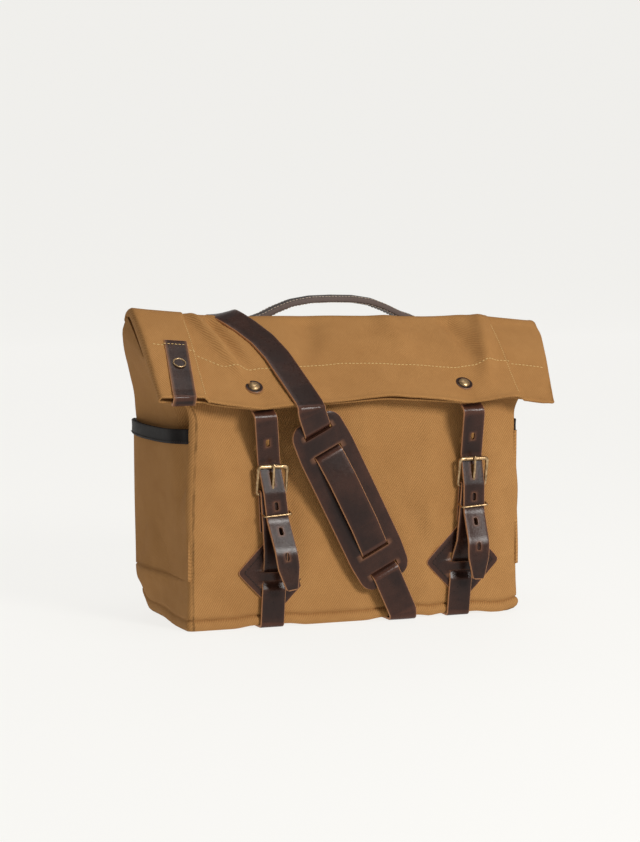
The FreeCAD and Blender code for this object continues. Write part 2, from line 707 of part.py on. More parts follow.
def build_handle():
    """Arched strap, narrowed at its ends to pass between the hinge lugs."""
    half = size("handle_span") / 2
    crown = size("ridge_height") + HANDLE_RISE
    arch = [(half * 0.4, crown), (half * 0.8, PIVOT.y + 20), (half, PIVOT.y + 11), (half, PIVOT.y - 4)]
    path = [(-across, up) for across, up in reversed(arch)] + arch
    handle = new_body("handle_strap", Placement(Vector(HANDLE_X, PIVOT.x, 0), Rotation()))
    outline = band(path, size("handle_depth"), [6, 20, 60, 60, 20, 6])
    pad(handle, "XZ_Plane", outline, "Sizes.handle_width")
    wide, narrow = size("handle_width") / 2 + 1, 6
    low, high = PIVOT.y - 6, PIVOT.y + 16
    for sign in (-1, 1):
        waist = [(sign * narrow, low), (sign * wide, low), (sign * wide, high), (sign * narrow, high - 6)]
        pocket(handle, "YZ_Plane", polygon(waist))


def build_handle_feet():
    """Hinge of the handle at each end: a brass foot whose pin turns in a lug on the back."""
    outside = size("handle_span") / 2 + size("handle_depth") / 2
    foot_depth = size("foot_depth")
    pin = size("pin_radius")
    lug = size("lug_width")
    for side, sign in SIDES:
        turn = Rotation(Vector(0, 0, 1), 0 if sign > 0 else 180)
        x = HANDLE_X + sign * (outside + foot_depth / 2)
        foot = new_body(f"{side}_handle_foot", Placement(Vector(x, PIVOT.x, PIVOT.y), turn))
        plate = rounded_rectangle(11, 12, 3, (0, 1))
        pad(foot, "YZ_Plane", plate, "Sizes.foot_depth")
        reach = lug / 2 + foot_depth / 2 + GAP
        shaft = [Part.Circle(Vector(), Vector(0, 0, 1), pin)]
        pad(foot, "YZ_Plane", shaft, "Sizes.lug_width + 1", reach)
        x = HANDLE_X + sign * (outside + foot_depth + GAP + lug / 2)
        points = [back_point(4, 0.1), back_point(24, 0.1), back_point(19, 13), back_point(9, 14.5)]
        outline = polygon(as_path(points))
        chape = along_x(f"{side}_handle_lug", outline, "Sizes.lug_width", x)
        bore = [Part.Circle(PIVOT, Vector(0, 0, 1), pin + size("pin_room"))]
        pocket(chape, "YZ_Plane", bore)


# ---------------------------------------------------------------- build and write

for build in (
    build_panels, build_gussets, build_base, build_pockets, build_flap, build_name_tab,
    build_studs, build_patches, build_buckle_straps, build_buckles, build_keepers,
    build_billets, build_shoulder_pad, build_sling_front, build_sling_over_flap,
    build_sling_back, build_strap_rings, build_handle, build_handle_feet,
):
    build()
doc.recompute()

failed = [o.Name for o in doc.Objects if {"Invalid", "Error"} & set(o.State)]
if failed:
    raise RuntimeError(f"objects that failed: {failed}")
for node in nodes:
    shape = node.Shape
    if shape.isNull() or not shape.isValid() or len(shape.Solids) != 1:
        raise RuntimeError(f"{node.Label} is not one valid solid")
for node in nodes:
    node.Shape.exportStep(f"parts/{node.Label}.step")
    box = node.Shape.BoundBox
    print(f"{node.Label:24s} x {box.XMin:7.1f} {box.XMax:7.1f}  y {box.YMin:7.1f} {box.YMax:7.1f}"
          f"  z {box.ZMin:6.1f} {box.ZMax:6.1f}")
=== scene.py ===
"""Canvas roll-top saddlebag with leather straps, dressed around its CAD frame."""
import logging
import math
from dataclasses import dataclass, field
from enum import Enum
from typing import Any, Callable, Iterable, Sequence

import bmesh
import bpy
import numpy as np
from mathutils import Matrix, Vector, noise
from mathutils.kdtree import KDTree


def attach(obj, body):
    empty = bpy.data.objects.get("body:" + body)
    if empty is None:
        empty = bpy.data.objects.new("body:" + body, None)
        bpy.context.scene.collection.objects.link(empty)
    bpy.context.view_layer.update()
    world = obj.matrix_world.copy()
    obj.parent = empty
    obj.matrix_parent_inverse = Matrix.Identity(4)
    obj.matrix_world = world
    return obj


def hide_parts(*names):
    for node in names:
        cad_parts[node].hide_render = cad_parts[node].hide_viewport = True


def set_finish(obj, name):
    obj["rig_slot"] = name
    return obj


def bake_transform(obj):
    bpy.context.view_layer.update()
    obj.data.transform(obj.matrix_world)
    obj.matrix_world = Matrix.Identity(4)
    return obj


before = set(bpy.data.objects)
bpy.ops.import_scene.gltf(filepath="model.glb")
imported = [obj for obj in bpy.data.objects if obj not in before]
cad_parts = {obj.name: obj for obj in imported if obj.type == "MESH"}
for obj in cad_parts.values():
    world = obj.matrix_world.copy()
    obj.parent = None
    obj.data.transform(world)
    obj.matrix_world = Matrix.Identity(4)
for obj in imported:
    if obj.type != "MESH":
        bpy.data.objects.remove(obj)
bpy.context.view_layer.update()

log = logging.getLogger("saddlebag")

MM = 0.001
Colour = tuple[float, float, float]
Point = Sequence[float]
X_AXIS = np.array((1.0, 0.0, 0.0))
SIDES = {"left": -1, "right": 1}


class Slot(Enum):
    """Material slots of the record."""

    CANVAS = "canvas"
    STRAP = "leather_strap"
    EDGE = "leather_edge"
    HANDLE = "leather_handle"
    BRASS = "aged_brass"


# ---------------------------------------------------------------- shader layer


class Signal:
    """An output socket whose arithmetic adds Math nodes."""

    def __init__(self, graph: "Graph", socket: bpy.types.NodeSocket) -> None:
        """Keep the socket and the graph that it belongs to."""
        self.graph = graph
        self.socket = socket

    def _math(self, operation: str, *values: Any) -> "Signal":
        """Add one Math node.

        Args:
            operation: name of the Math operation.
            values: its operands in order.

        Returns:
            The result.
        """
        return self.graph.node("ShaderNodeMath", {"operation": operation}, dict(enumerate(values)))

    def __add__(self, other: Any) -> "Signal":
        """Sum."""
        return self._math("ADD", self, other)

    def __radd__(self, other: Any) -> "Signal":
        """Sum, with the number first."""
        return self._math("ADD", other, self)

    def __sub__(self, other: Any) -> "Signal":
        """Difference."""
        return self._math("SUBTRACT", self, other)

    def __rsub__(self, other: Any) -> "Signal":
        """Difference, with the number first."""
        return self._math("SUBTRACT", other, self)

    def __mul__(self, other: Any) -> "Signal":
        """Product."""
        return self._math("MULTIPLY", self, other)

    def __rmul__(self, other: Any) -> "Signal":
        """Product, with the number first."""
        return self._math("MULTIPLY", other, self)

    def sine(self) -> "Signal":
        """Sine of an angle in radians."""
        return self._math("SINE", self)

    def limited(self) -> "Signal":
        """The value kept between 0 and 1."""
        return self.graph.node("ShaderNodeClamp", {}, {0: self})

    def ramp(self, low: float, high: float) -> "Signal":
        """Smooth step from 0 at low to 1 at high."""
        settings = {"interpolation_type": "SMOOTHSTEP"}
        return self.graph.node("ShaderNodeMapRange", settings, {0: self, 1: low, 2: high})


class Graph:
    """Node tree of one material."""

    def __init__(self, name: str) -> None:
        """Make the material with an empty tree."""
        self.material = bpy.data.materials.new(name)
        self.material.use_nodes = True
        self.tree = self.material.node_tree
        self.tree.nodes.clear()

    def node(self, kind: str, settings: dict[str, Any], inputs: dict[Any, Any],
             output: int | str = 0) -> Signal:
        """Add a node.

        Args:
            kind: type of the node.
            settings: its properties, set first; "stops" fills a colour ramp.
            inputs: sockets by name or number, with a value or a Signal for each.
            output: the socket to return.

        Returns:
            That output.
        """
        made = self.tree.nodes.new(kind)
        for key, value in settings.items():
            if key == "stops":
                while len(made.color_ramp.elements) < len(value):
                    made.color_ramp.elements.new(1.0)
                for element, (place, colour) in zip(made.color_ramp.elements, value):
                    element.position = place
                    element.color = (*colour, 1.0)
            else:
                setattr(made, key, value)
        for key, value in inputs.items():
            if isinstance(value, Signal):
                self.tree.links.new(value.socket, made.inputs[key])
            elif isinstance(value, tuple) and len(value) == 3 and made.inputs[key].type == "RGBA":
                made.inputs[key].default_value = (*value, 1.0)
            else:
                made.inputs[key].default_value = value
        return Signal(self, made.outputs[output])

    def carried(self, name: str, output: str = "Fac") -> Signal:
        """A value that the points of the mesh carry."""
        return self.node("ShaderNodeAttribute", {"attribute_name": name}, {}, output)

    def noise(self, place: Signal, scale: float, detail: float = 2.0, roughness: float = 0.5) -> Signal:
        """Noise of about 0 to 1 at a place in millimetres."""
        inputs = {"Vector": place, "Scale": scale, "Detail": detail, "Roughness": roughness}
        return self.node("ShaderNodeTexNoise", {}, inputs)

    def mix(self, share: Any, first: Any, second: Any, blend: str = "MIX") -> Signal:
        """Colour between two colours."""
        settings = {"data_type": "RGBA", "blend_type": blend}
        return self.node("ShaderNodeMix", settings, {0: share, 6: first, 7: second}, 2)

    def stretched(self, place: Signal, factors: Point) -> Signal:
        """A place with each of its axes scaled."""
        return self.node("ShaderNodeVectorMath", {"operation": "MULTIPLY"},
                         {0: place, 1: tuple(factors)})

    def bump(self, height: Signal, depth: float) -> Signal:
        """Normal of a relief whose depth is in millimetres."""
        inputs = {"Strength": 1.0, "Distance": depth * MM, "Height": height}
        return self.node("ShaderNodeBump", {}, inputs)

    def finish(self, **sockets: Any) -> bpy.types.Material:
        """Close the tree with a Principled shader.

        Args:
            sockets: its inputs, with _ for each space.

        Returns:
            The material.
        """
        inputs = {key.replace("_", " "): value for key, value in sockets.items()}
        shader = self.node("ShaderNodeBsdfPrincipled", {}, inputs)
        end = self.tree.nodes.new("ShaderNodeOutputMaterial")
        self.tree.links.new(shader.socket, end.inputs["Surface"])
        return self.material


# ---------------------------------------------------------------- finishes


@dataclass(frozen=True)
class Canvas:
    """Waxed cotton twill: diagonal ribs, single yarns, faded and darker areas, painted shade in the weave's
    hollows.
    """

    name: str = "canvas"
    light: Colour = (0.43, 0.225, 0.082)
    dark: Colour = (0.31, 0.150, 0.050)
    rib: float = 2.5
    yarn: float = 0.9

    def build(self) -> bpy.types.Material:
        """Make the material."""
        g = Graph(self.name)
        weave = g.carried("weave", "Vector")
        place = g.carried("rest", "Vector")
        axes = g.node("ShaderNodeSeparateXYZ", {}, {0: weave})
        across, along = axes, Signal(g, axes.socket.node.outputs[1])
        wander = (g.noise(place, 0.05, 2.0) - 0.5) * 3.0
        angle = 2 * math.pi
        ribs = ((across - along * 0.72 + wander) * (angle / self.rib)).sine() * 0.5 + 0.5
        warp = (across * (angle / self.yarn)).sine()
        weft = ((along + wander * 0.2) * (angle / self.yarn)).sine()
        yarns = warp * weft * 0.5 + 0.5
        slub = g.noise(g.stretched(weave, (0.25, 2.2, 1.0)), 1.0, 2.0)
        cloth = ribs * 0.62 + yarns * 0.22 + slub * 0.3
        fade = g.noise(place, 0.011, 3.0, 0.6)
        patchy = g.noise(place, 0.06, 4.0, 0.65)
        tone = (fade * 0.9 + patchy * 0.55 - 0.22).limited()
        ground = g.mix(tone, self.dark, self.light)
        # Painted shade: the colour darkens where the weave's relief is low, like the shade in its hollows;
        # the slub part also gives the yarns' own uneven tone.
        shade = (cloth * 0.55 + 0.42).limited()
        weave_shade = g.node("ShaderNodeValToRGB",
                         {"stops": [(0.40, (0.68, 0.64, 0.58)), (0.92, (1.0, 1.0, 1.0))]}, {0: shade})
        colour = g.mix(1.0, ground, weave_shade, "MULTIPLY")
        fuzz = g.noise(place, 1.7, 3.0, 0.6)
        normal = g.bump(cloth + fuzz * 0.3, 0.42)
        return g.finish(Base_Color=colour, Roughness=0.88 - tone * 0.06, Normal=normal,
                        Specular_IOR_Level=0.08)


@dataclass(frozen=True)
class Leather:
    """Oiled leather with clouds, fine grain, raw edges and worn places."""

    name: str
    deep: Colour
    cloud: Colour
    worn: Colour
    raw: Colour
    roughness: float = 0.34
    grain: float = 0.10
    gloss: float = 0.32

    def build(self) -> bpy.types.Material:
        """Make the material."""
        g = Graph(self.name)
        place = g.carried("rest", "Vector")
        clouds = g.noise(place, 0.028, 3.0, 0.55).ramp(0.36, 0.70)
        mottle = g.noise(place, 0.22, 4.0, 0.6)
        fibres = g.noise(g.stretched(place, (1.0, 1.0, 0.25)), 1.3, 3.0, 0.6)
        body = g.mix((clouds * 0.75 + mottle * 0.35 - 0.1).limited(), self.deep, self.cloud)
        rubbed = (g.carried("wear") * (mottle * 1.1 + 0.35)).limited()
        skin = g.mix(rubbed, body, self.worn)
        cut = (g.carried("edge") * (fibres * 0.6 + 0.55)).limited()
        colour = g.mix(cut, skin, self.raw)
        pores = g.node("ShaderNodeTexVoronoi", {"feature": "F1"}, {"Vector": place, "Scale": 1.5})
        creases = g.noise(g.stretched(place, (1.0, 1.0, 0.5)), 0.55, 3.0, 0.6)
        relief = pores * 0.35 + fibres * 0.35 + creases * 0.6
        normal = g.bump(relief, self.grain)
        rough = self.roughness + mottle * 0.16 + g.carried("edge") * 0.25 - clouds * 0.05
        return g.finish(Base_Color=colour, Roughness=rough.limited(), Normal=normal,
                        Specular_IOR_Level=self.gloss)


@dataclass(frozen=True)
class Brass:
    """Antique brass: brown in the hollows, rubbed bright where it is handled."""

    name: str = "aged_brass"
    rubbed: Colour = (0.56, 0.39, 0.21)
    aged: Colour = (0.21, 0.13, 0.065)

    def build(self) -> bpy.types.Material:
        """Make the material."""
        g = Graph(self.name)
        place = g.carried("rest", "Vector")
        patina = g.noise(place, 0.35, 4.0, 0.6)
        scratch = g.noise(g.stretched(place, (3.0, 3.0, 0.6)), 1.2, 3.0, 0.6)
        bright = (patina.ramp(0.36, 0.66) * 0.75 + scratch * 0.3 + g.carried("wear") * 0.5).limited()
        colour = g.mix(bright, self.aged, self.rubbed)
        normal = g.bump(scratch * 0.5 + patina * 0.5, 0.05)
        return g.finish(Base_Color=colour, Roughness=0.46 - bright * 0.12, Metallic=0.9, Normal=normal)


@dataclass(frozen=True)
class Thread:
    """Waxed sewing thread with its twist."""

    name: str
    colour: Colour
    shade: Colour

    def build(self) -> bpy.types.Material:
        """Make the material."""
        g = Graph(self.name)
        place = g.carried("rest", "Vector")
        strands = (g.node("ShaderNodeSeparateXYZ", {}, {0: place}) * 9.0).sine() * 0.5 + 0.5
        tint = (g.noise(place, 0.8, 2.0) * 0.7 + strands * 0.3).limited()
        colour = g.mix(tint, self.shade, self.colour)
        return g.finish(Base_Color=colour, Roughness=0.75 - tint * 0.1, Normal=g.bump(strands, 0.08),
                        Specular_IOR_Level=0.3)


@dataclass(frozen=True)
class Backdrop:
    """Plain pale paper under and behind the bag."""

    name: str = "backdrop"
    colour: Colour = (0.12, 0.12, 0.118)

    def build(self) -> bpy.types.Material:
        """Make the material."""
        g = Graph(self.name)
        place = g.carried("rest", "Vector")
        mottle = g.noise(place, 0.002, 2.0)
        shade = tuple(c * 0.985 for c in self.colour)
        return g.finish(Base_Color=g.mix(mottle, shade, self.colour), Roughness=0.8,
                        Specular_IOR_Level=0.1, Emission_Color=(1.0, 0.99, 0.96, 1.0),
                        Emission_Strength=0.81)


STRAP_LEATHER = Leather("strap_leather", (0.014, 0.0058, 0.0042), (0.036, 0.0140, 0.0088),
                        (0.11, 0.040, 0.023), (0.46, 0.22, 0.10), 0.23, 0.10, 0.22)
BINDING_LEATHER = Leather("binding_leather", (0.006, 0.0045, 0.004), (0.012, 0.009, 0.008),
                          (0.02, 0.013, 0.010), (0.02, 0.012, 0.009), 0.46, 0.07, 0.09)
HANDLE_LEATHER = Leather("handle_leather", (0.034, 0.026, 0.024), (0.062, 0.049, 0.045),
                         (0.13, 0.10, 0.09), (0.10, 0.07, 0.06), 0.46, 0.12)
CREAM_THREAD = Thread("cream_thread", (0.62, 0.44, 0.19), (0.46, 0.30, 0.12))
PALE_THREAD = Thread("pale_thread", (0.50, 0.40, 0.32), (0.30, 0.22, 0.17))
BROWN_THREAD = Thread("brown_thread", (0.022, 0.010, 0.007), (0.010, 0.005, 0.004))


class Wardrobe:
    """Builds each finish once."""

    def __init__(self) -> None:
        """Start with nothing built."""
        self.made: dict[str, bpy.types.Material] = {}

    def get(self, finish: Any) -> bpy.types.Material:
        """The material of a finish."""
        if finish.name not in self.made:
            self.made[finish.name] = finish.build()
        return self.made[finish.name]


WARDROBE = Wardrobe()


# ---------------------------------------------------------------- curves of the bag


def smooth(value: Any, low: float = 0.0, high: float = 1.0) -> Any:
    """Smooth step from 0 at low to 1 at high."""
    share = np.clip((np.asarray(value, float) - low) / (high - low), 0.0, 1.0)
    return share * share * (3 - 2 * share)


def bell(value: Any, centre: float, spread: float) -> Any:
    """Gaussian hump of height 1."""
    return np.exp(-(((np.asarray(value, float) - centre) / spread) ** 2))


def wobble(place: Point, scale: float, seed: float = 0.0) -> float:
    """Smooth noise of about -1 to 1 at a place in millimetres."""
    return noise.noise(Vector((place[0] / scale + seed, place[1] / scale, place[2] / scale)))


RIDGE = np.array((6.0, 292.0))
SLOPE = math.radians(37.5)
DOWN = np.array((-math.cos(SLOPE), -math.sin(SLOPE)))
OFF = np.array((-math.sin(SLOPE), math.cos(SLOPE)))
OFF_3D = np.array((0.0, *OFF))
TURN_LENGTH = 13.0
RIDGE_LIFT = ((-215, -161, -89, 0, 108, 150, 177, 228), (9.5, 4.0, 0.5, 0.0, -2.5, -1.5, -2.5, -8.0))


def settled(place: Point) -> np.ndarray:
    """A place at the top of the bag, moved with the uneven ridge."""
    x, y, z = place
    lift = np.interp(x, *RIDGE_LIFT) * smooth(z, 205.0, 295.0)
    return np.array((x, y, z + lift))


def on_flap(x: float, reach: float, level: float) -> np.ndarray:
    """Place on the closed flap.

    Args:
        x: across the bag.
        reach: distance down from the ridge, below 0 on the back.
        level: height above the cloth under the flap.

    Returns:
        The place in millimetres.
    """
    if reach >= 0:
        y, z = RIDGE + DOWN * reach + OFF * level
        return settled((x, y, z))
    steepest = -math.radians(94.5) * TURN_LENGTH
    turned = max(reach, steepest)
    angle = math.pi - (math.pi / 2 - SLOPE) + turned / TURN_LENGTH
    y, z = RIDGE + np.array((math.cos(angle), math.sin(angle))) * level
    extra = turned - reach
    y += extra * math.sin(angle)
    z -= extra * math.cos(angle)
    return settled((x, y, z))


# ---------------------------------------------------------------- mesh makers


def make_piece(name: str, points: np.ndarray, faces: Iterable[Sequence[int]], finish: Any, slot: Slot,
               sharp: float = 38.0) -> bpy.types.Object:
    """Make an object from points in millimetres.

    Args:
        name: name of the piece.
        points: its points.
        faces: indices of the corners of each face.
        finish: what it is made of.
        slot: slot of the record that the finish belongs to.
        sharp: angle in degrees over which an edge shades as a crease.

    Returns:
        The object, riding on nothing yet.
    """
    mesh = bpy.data.meshes.new(name)
    mesh.from_pydata((np.asarray(points) * MM).tolist(), [], [tuple(f) for f in faces])
    tidy = bmesh.new()
    tidy.from_mesh(mesh)
    bmesh.ops.recalc_face_normals(tidy, faces=tidy.faces)
    tidy.to_mesh(mesh)
    tidy.free()
    mesh.shade_smooth()
    mesh.set_sharp_from_angle(angle=math.radians(sharp))
    piece = bpy.data.objects.new(name, mesh)
    bpy.context.scene.collection.objects.link(piece)
    mesh.materials.append(WARDROBE.get(finish))
    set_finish(piece, slot.value)
    return piece


def points_of(piece: bpy.types.Object) -> np.ndarray:
    """Points of a piece in millimetres."""
    flat = np.empty(len(piece.data.vertices) * 3, np.float32)
    piece.data.vertices.foreach_get("co", flat)
    return flat.reshape(-1, 3).astype(float) / MM


def move_points(piece: bpy.types.Object, places: np.ndarray) -> None:
    """Put the points of a piece at places in millimetres."""
    piece.data.vertices.foreach_set("co", (places * MM).astype(np.float32).ravel())


def carry(piece: bpy.types.Object, name: str, values: np.ndarray) -> None:
    """Store a value or a place on each point of a piece."""
    kind = "FLOAT" if values.ndim == 1 else "FLOAT_VECTOR"
    store = piece.data.attributes.get(name) or piece.data.attributes.new(name, kind, "POINT")
    key = "value" if values.ndim == 1 else "vector"
    store.data.foreach_set(key, values.astype(np.float32).ravel())


def carry_rest(piece: bpy.types.Object) -> None:
    """Store where each point is at rest, for grain that stays with the piece."""
    carry(piece, "rest", points_of(piece))
    for name in ("edge", "wear"):
        if piece.data.attributes.get(name) is None:
            carry(piece, name, np.zeros(len(piece.data.vertices)))


def freeze(piece: bpy.types.Object, sharp: float = 38.0) -> None:
    """Apply the modifiers of a piece."""
    graph = bpy.context.evaluated_depsgraph_get()
    mesh = bpy.data.meshes.new_from_object(piece.evaluated_get(graph))
    piece.modifiers.clear()
    piece.data = mesh
    mesh.shade_smooth()
    mesh.set_sharp_from_angle(angle=math.radians(sharp))


def thicken(piece: bpy.types.Object, depth: float) -> None:
    """Give a sheet its thickness, inward."""
    solid = piece.modifiers.new("cloth", "SOLIDIFY")
    solid.thickness = depth * MM
    solid.offset = -1.0
    solid.use_even_offset = False
    freeze(piece, 60.0)


def rounded(points: np.ndarray, radii: float | Sequence[float]) -> np.ndarray:
    """Round the corners of an open line.

    Args:
        points: rows that start with a place, and may carry more columns.
        radii: radius of every corner, or of each.

    Returns:
        The line with a short curve at each corner.
    """
    inner = len(points) - 2
    reach = np.broadcast_to(np.asarray(radii, float), (max(inner, 0),))
    rows = [points[0]]
    for before, corner, after, radius in zip(points, points[1:], points[2:], reach):
        into, out = corner - before, after - corner
        long_in, long_out = np.linalg.norm(into[:3]), np.linalg.norm(out[:3])
        cosine = np.clip(np.dot(into[:3], out[:3]) / (long_in * long_out), -1.0, 1.0)
        cut = radius * math.tan(math.acos(cosine) / 2)
        start = corner - into * min(cut / long_in, 0.498)
        end = corner + out * min(cut / long_out, 0.498)
        for t in np.linspace(0.0, 1.0, 9):
            rows.append(start * (1 - t) ** 2 + corner * 2 * t * (1 - t) + end * t * t)
    rows.append(points[-1])
    return np.array(rows)


def respaced(points: np.ndarray, step: float) -> np.ndarray:
    """An open line with points about a step apart."""
    lengths = np.linalg.norm(np.diff(points[:, :3], axis=0), axis=1)
    run = np.concatenate(((0.0,), np.cumsum(lengths)))
    count = max(2, int(round(run[-1] / step)) + 1)
    places = np.linspace(0.0, run[-1], count)
    return np.stack([np.interp(places, run, column) for column in points.T], axis=1)


def unit(rows: np.ndarray) -> np.ndarray:
    """Rows scaled to length 1."""
    return rows / np.maximum(np.linalg.norm(rows, axis=-1, keepdims=True), 1e-9)


def tube_faces(rings: int, around: int, closed: bool) -> list[tuple[int, ...]]:
    """Faces of a tube of rings, with its ends capped unless it is closed."""
    faces: list[tuple[int, ...]] = []
    for ring in range(rings if closed else rings - 1):
        following = (ring + 1) % rings
        for k in range(around):
            after = (k + 1) % around
            faces.append((ring * around + k, ring * around + after,
                          following * around + after, following * around + k))
    if not closed:
        faces.append(tuple(reversed(range(around))))
        faces.append(tuple(range((rings - 1) * around, rings * around)))
    return faces


class Maker:
    """Anything that makes one piece."""

    def build(self) -> bpy.types.Object:
        """Make the piece."""
        raise NotImplementedError

    def on(self, body: str, *nodes: str) -> bpy.types.Object:
        """Make the piece and put it on a body in place of CAD nodes."""
        return settle(self.build(), body, *nodes)


@dataclass
class Hole:
    """A slot through a strap: middle, and size along and across."""

    along: float
    across: float
    tall: float
    wide: float
    square: bool = False

    def outline(self) -> list[tuple[float, float]]:
        """Corners of the slot, as distance along and across from its middle."""
        half, radius = self.tall / 2, self.wide / 2
        if self.square:
            return [(-half, -radius), (half, -radius), (half, radius), (-half, radius)]
        straight = max(half - radius, 0.0)
        turns = 8
        corners = []
        for sign in (1, -1):
            for k in range(turns + 1):
                angle = math.pi * k / turns - (math.pi / 2 if sign > 0 else -math.pi / 2)
                corners.append((sign * straight + radius * math.cos(angle), radius * math.sin(angle)))
        return corners

    def nearness(self, along: np.ndarray, across: np.ndarray, reach: float) -> np.ndarray:
        """1 at the rim of the slot, falling to 0 at reach from it."""
        beside = np.maximum(np.abs(along - self.along) - self.tall / 2, 0.0)
        aside = np.maximum(np.abs(across - self.across) - self.wide / 2, 0.0)
        return 1 - smooth(np.hypot(beside, aside), 0.0, reach)


@dataclass
class Strap(Maker):
    """A leather strap: a soft-edged flat section carried along a line of points."""

    name: str
    line: Sequence[Point]
    width: float
    thickness: float = 2.8
    across: Any = (1.0, 0.0, 0.0)
    holes: list[Hole] = field(default_factory=list)
    shape: Callable[[np.ndarray, float], np.ndarray] | None = None
    radii: Any = 6.0
    step: float = 1.6
    cup: float = 0.0
    finish: Any = STRAP_LEATHER
    slot: Slot = Slot.STRAP
    worn: float = 0.35

    def stations(self) -> None:
        """Work out the middle line with its directions and half widths."""
        line = np.asarray(self.line, float)
        sides = np.broadcast_to(np.asarray(self.across, float), line.shape)
        rows = respaced(rounded(np.hstack((line, sides)), self.radii), self.step)
        self.centre = rows[:, :3]
        self.tangent = unit(np.gradient(self.centre, axis=0))
        lean = rows[:, 3:]
        lean = lean - self.tangent * np.sum(lean * self.tangent, axis=1, keepdims=True)
        self.side = unit(lean)
        self.normal = np.cross(self.side, self.tangent)
        steps = np.linalg.norm(np.diff(self.centre, axis=0), axis=1)
        self.run = np.concatenate(((0.0,), np.cumsum(steps)))
        self.total = float(self.run[-1])
        half = np.full(len(self.run), self.width / 2)
        if self.shape is not None:
            half = half * self.shape(self.run, self.total)
        self.half = half
        bends = np.linalg.norm(np.gradient(self.tangent, axis=0), axis=1) / self.step
        self.bend = smooth(bends, 0.02, 0.14)

    def section(self, half: float, thick: float) -> np.ndarray:
        """Outline of the strap, as across and normal distances."""
        radius = min(thick * 0.38, half * 0.5)
        flats = np.linspace(-(half - radius), half - radius, 9)
        turn = np.radians((25, 55, 90, 125, 155))
        top = [(u, thick / 2) for u in flats]
        right = [(half - radius + radius * math.sin(a), (thick / 2 - radius) * _sign(math.cos(a))
                  + radius * math.cos(a)) for a in turn]
        bottom = [(u, -thick / 2) for u in flats[::-1]]
        left = [(-u, -w) for u, w in right]
        return np.array(top + right + bottom + left)

    def points(self) -> tuple[np.ndarray, int]:
        """Points of the swept strap, and how many go round it."""
        rings = []
        last = len(self.run) - 1
        for k, half in enumerate(self.half):
            thick = self.thickness * (0.62 if k in (0, last) else 1.0)
            outline = self.section(max(half - (0.5 if k in (0, last) else 0.0), 0.6), thick)
            cup = self.cup * (1 - (outline[:, 0] / max(half, 0.6)) ** 2)
            rings.append(self.centre[k] + np.outer(outline[:, 0], self.side[k])
                         + np.outer(outline[:, 1] + cup, self.normal[k]))
        return np.vstack(rings), len(rings[0])

    def cutter(self) -> bpy.types.Object:
        """Prisms that cut the holes."""
        points: list[np.ndarray] = []
        faces: list[tuple[int, ...]] = []
        for hole in self.holes:
            k = int(np.argmin(np.abs(self.run - hole.along)))
            outline = hole.outline()
            start = len(points)
            for level in (-self.thickness * 1.6, self.thickness * 1.6):
                for along, aside in outline:
                    points.append(self.centre[k] + self.tangent[k] * along + self.normal[k] * level
                                  + self.side[k] * (aside + hole.across))
            count = len(outline)
            faces += [tuple(start + f for f in face) for face in tube_faces(2, count, False)]
        return make_piece(f"{self.name}_cutter", np.array(points), faces, self.finish, self.slot)

    def marks(self, piece: bpy.types.Object) -> None:
        """Store the raw edges and the worn places on the points."""
        tree = KDTree(len(self.centre))
        for k, place in enumerate(self.centre):
            tree.insert(Vector(place), k)
        tree.balance()
        places = points_of(piece)
        near = np.array([tree.find(Vector(p))[1] for p in places])
        offset = places - self.centre[near]
        aside = np.sum(offset * self.side[near], axis=1)
        ahead = self.run[near] + np.sum(offset * self.tangent[near], axis=1)
        rim = self.half[near] - np.abs(aside)
        edge = 1 - smooth(rim, 0.25, 0.95)
        edge = np.maximum(edge, 1 - smooth(np.minimum(ahead, self.total - ahead), 0.1, 0.8))
        wear = self.bend[near] * 0.35 + self.worn * 0.35 * (1 - smooth(rim, 0.6, 1.8))
        for hole in self.holes:
            wear = np.maximum(wear, 0.45 * hole.nearness(ahead, aside, 2.8))
            edge = np.maximum(edge, hole.nearness(ahead, aside, 0.7) * 0.2)
        carry(piece, "edge", edge)
        carry(piece, "wear", np.clip(wear, 0.0, 1.0))
        carry(piece, "rest", places)

    def build(self) -> bpy.types.Object:
        """Make the strap with its holes."""
        self.stations()
        places, around = self.points()
        faces = tube_faces(len(self.run), around, False)
        piece = make_piece(self.name, places, faces, self.finish, self.slot)
        if self.holes:
            cutter = self.cutter()
            cut = piece.modifiers.new("holes", "BOOLEAN")
            cut.operation, cut.solver, cut.object = "DIFFERENCE", "EXACT", cutter
            freeze(piece)
            bpy.data.objects.remove(cutter)
        self.marks(piece)
        return piece

    def rail(self, start: float, end: float, aside: float, above: float) -> np.ndarray:
        """Line of places on the strap.

        Args:
            start: first distance along it.
            end: last distance along it.
            aside: distance across from the middle.
            above: height above its middle plane.

        Returns:
            Rows of place and normal.
        """
        chosen = (self.run >= start) & (self.run <= end)
        places = self.centre + self.side * aside + self.normal * above
        facing = self.normal * _sign(above)
        return np.hstack((places, facing))[chosen]


def _sign(value: float) -> float:
    """-1 below zero and 1 elsewhere."""
    return -1.0 if value < 0 else 1.0


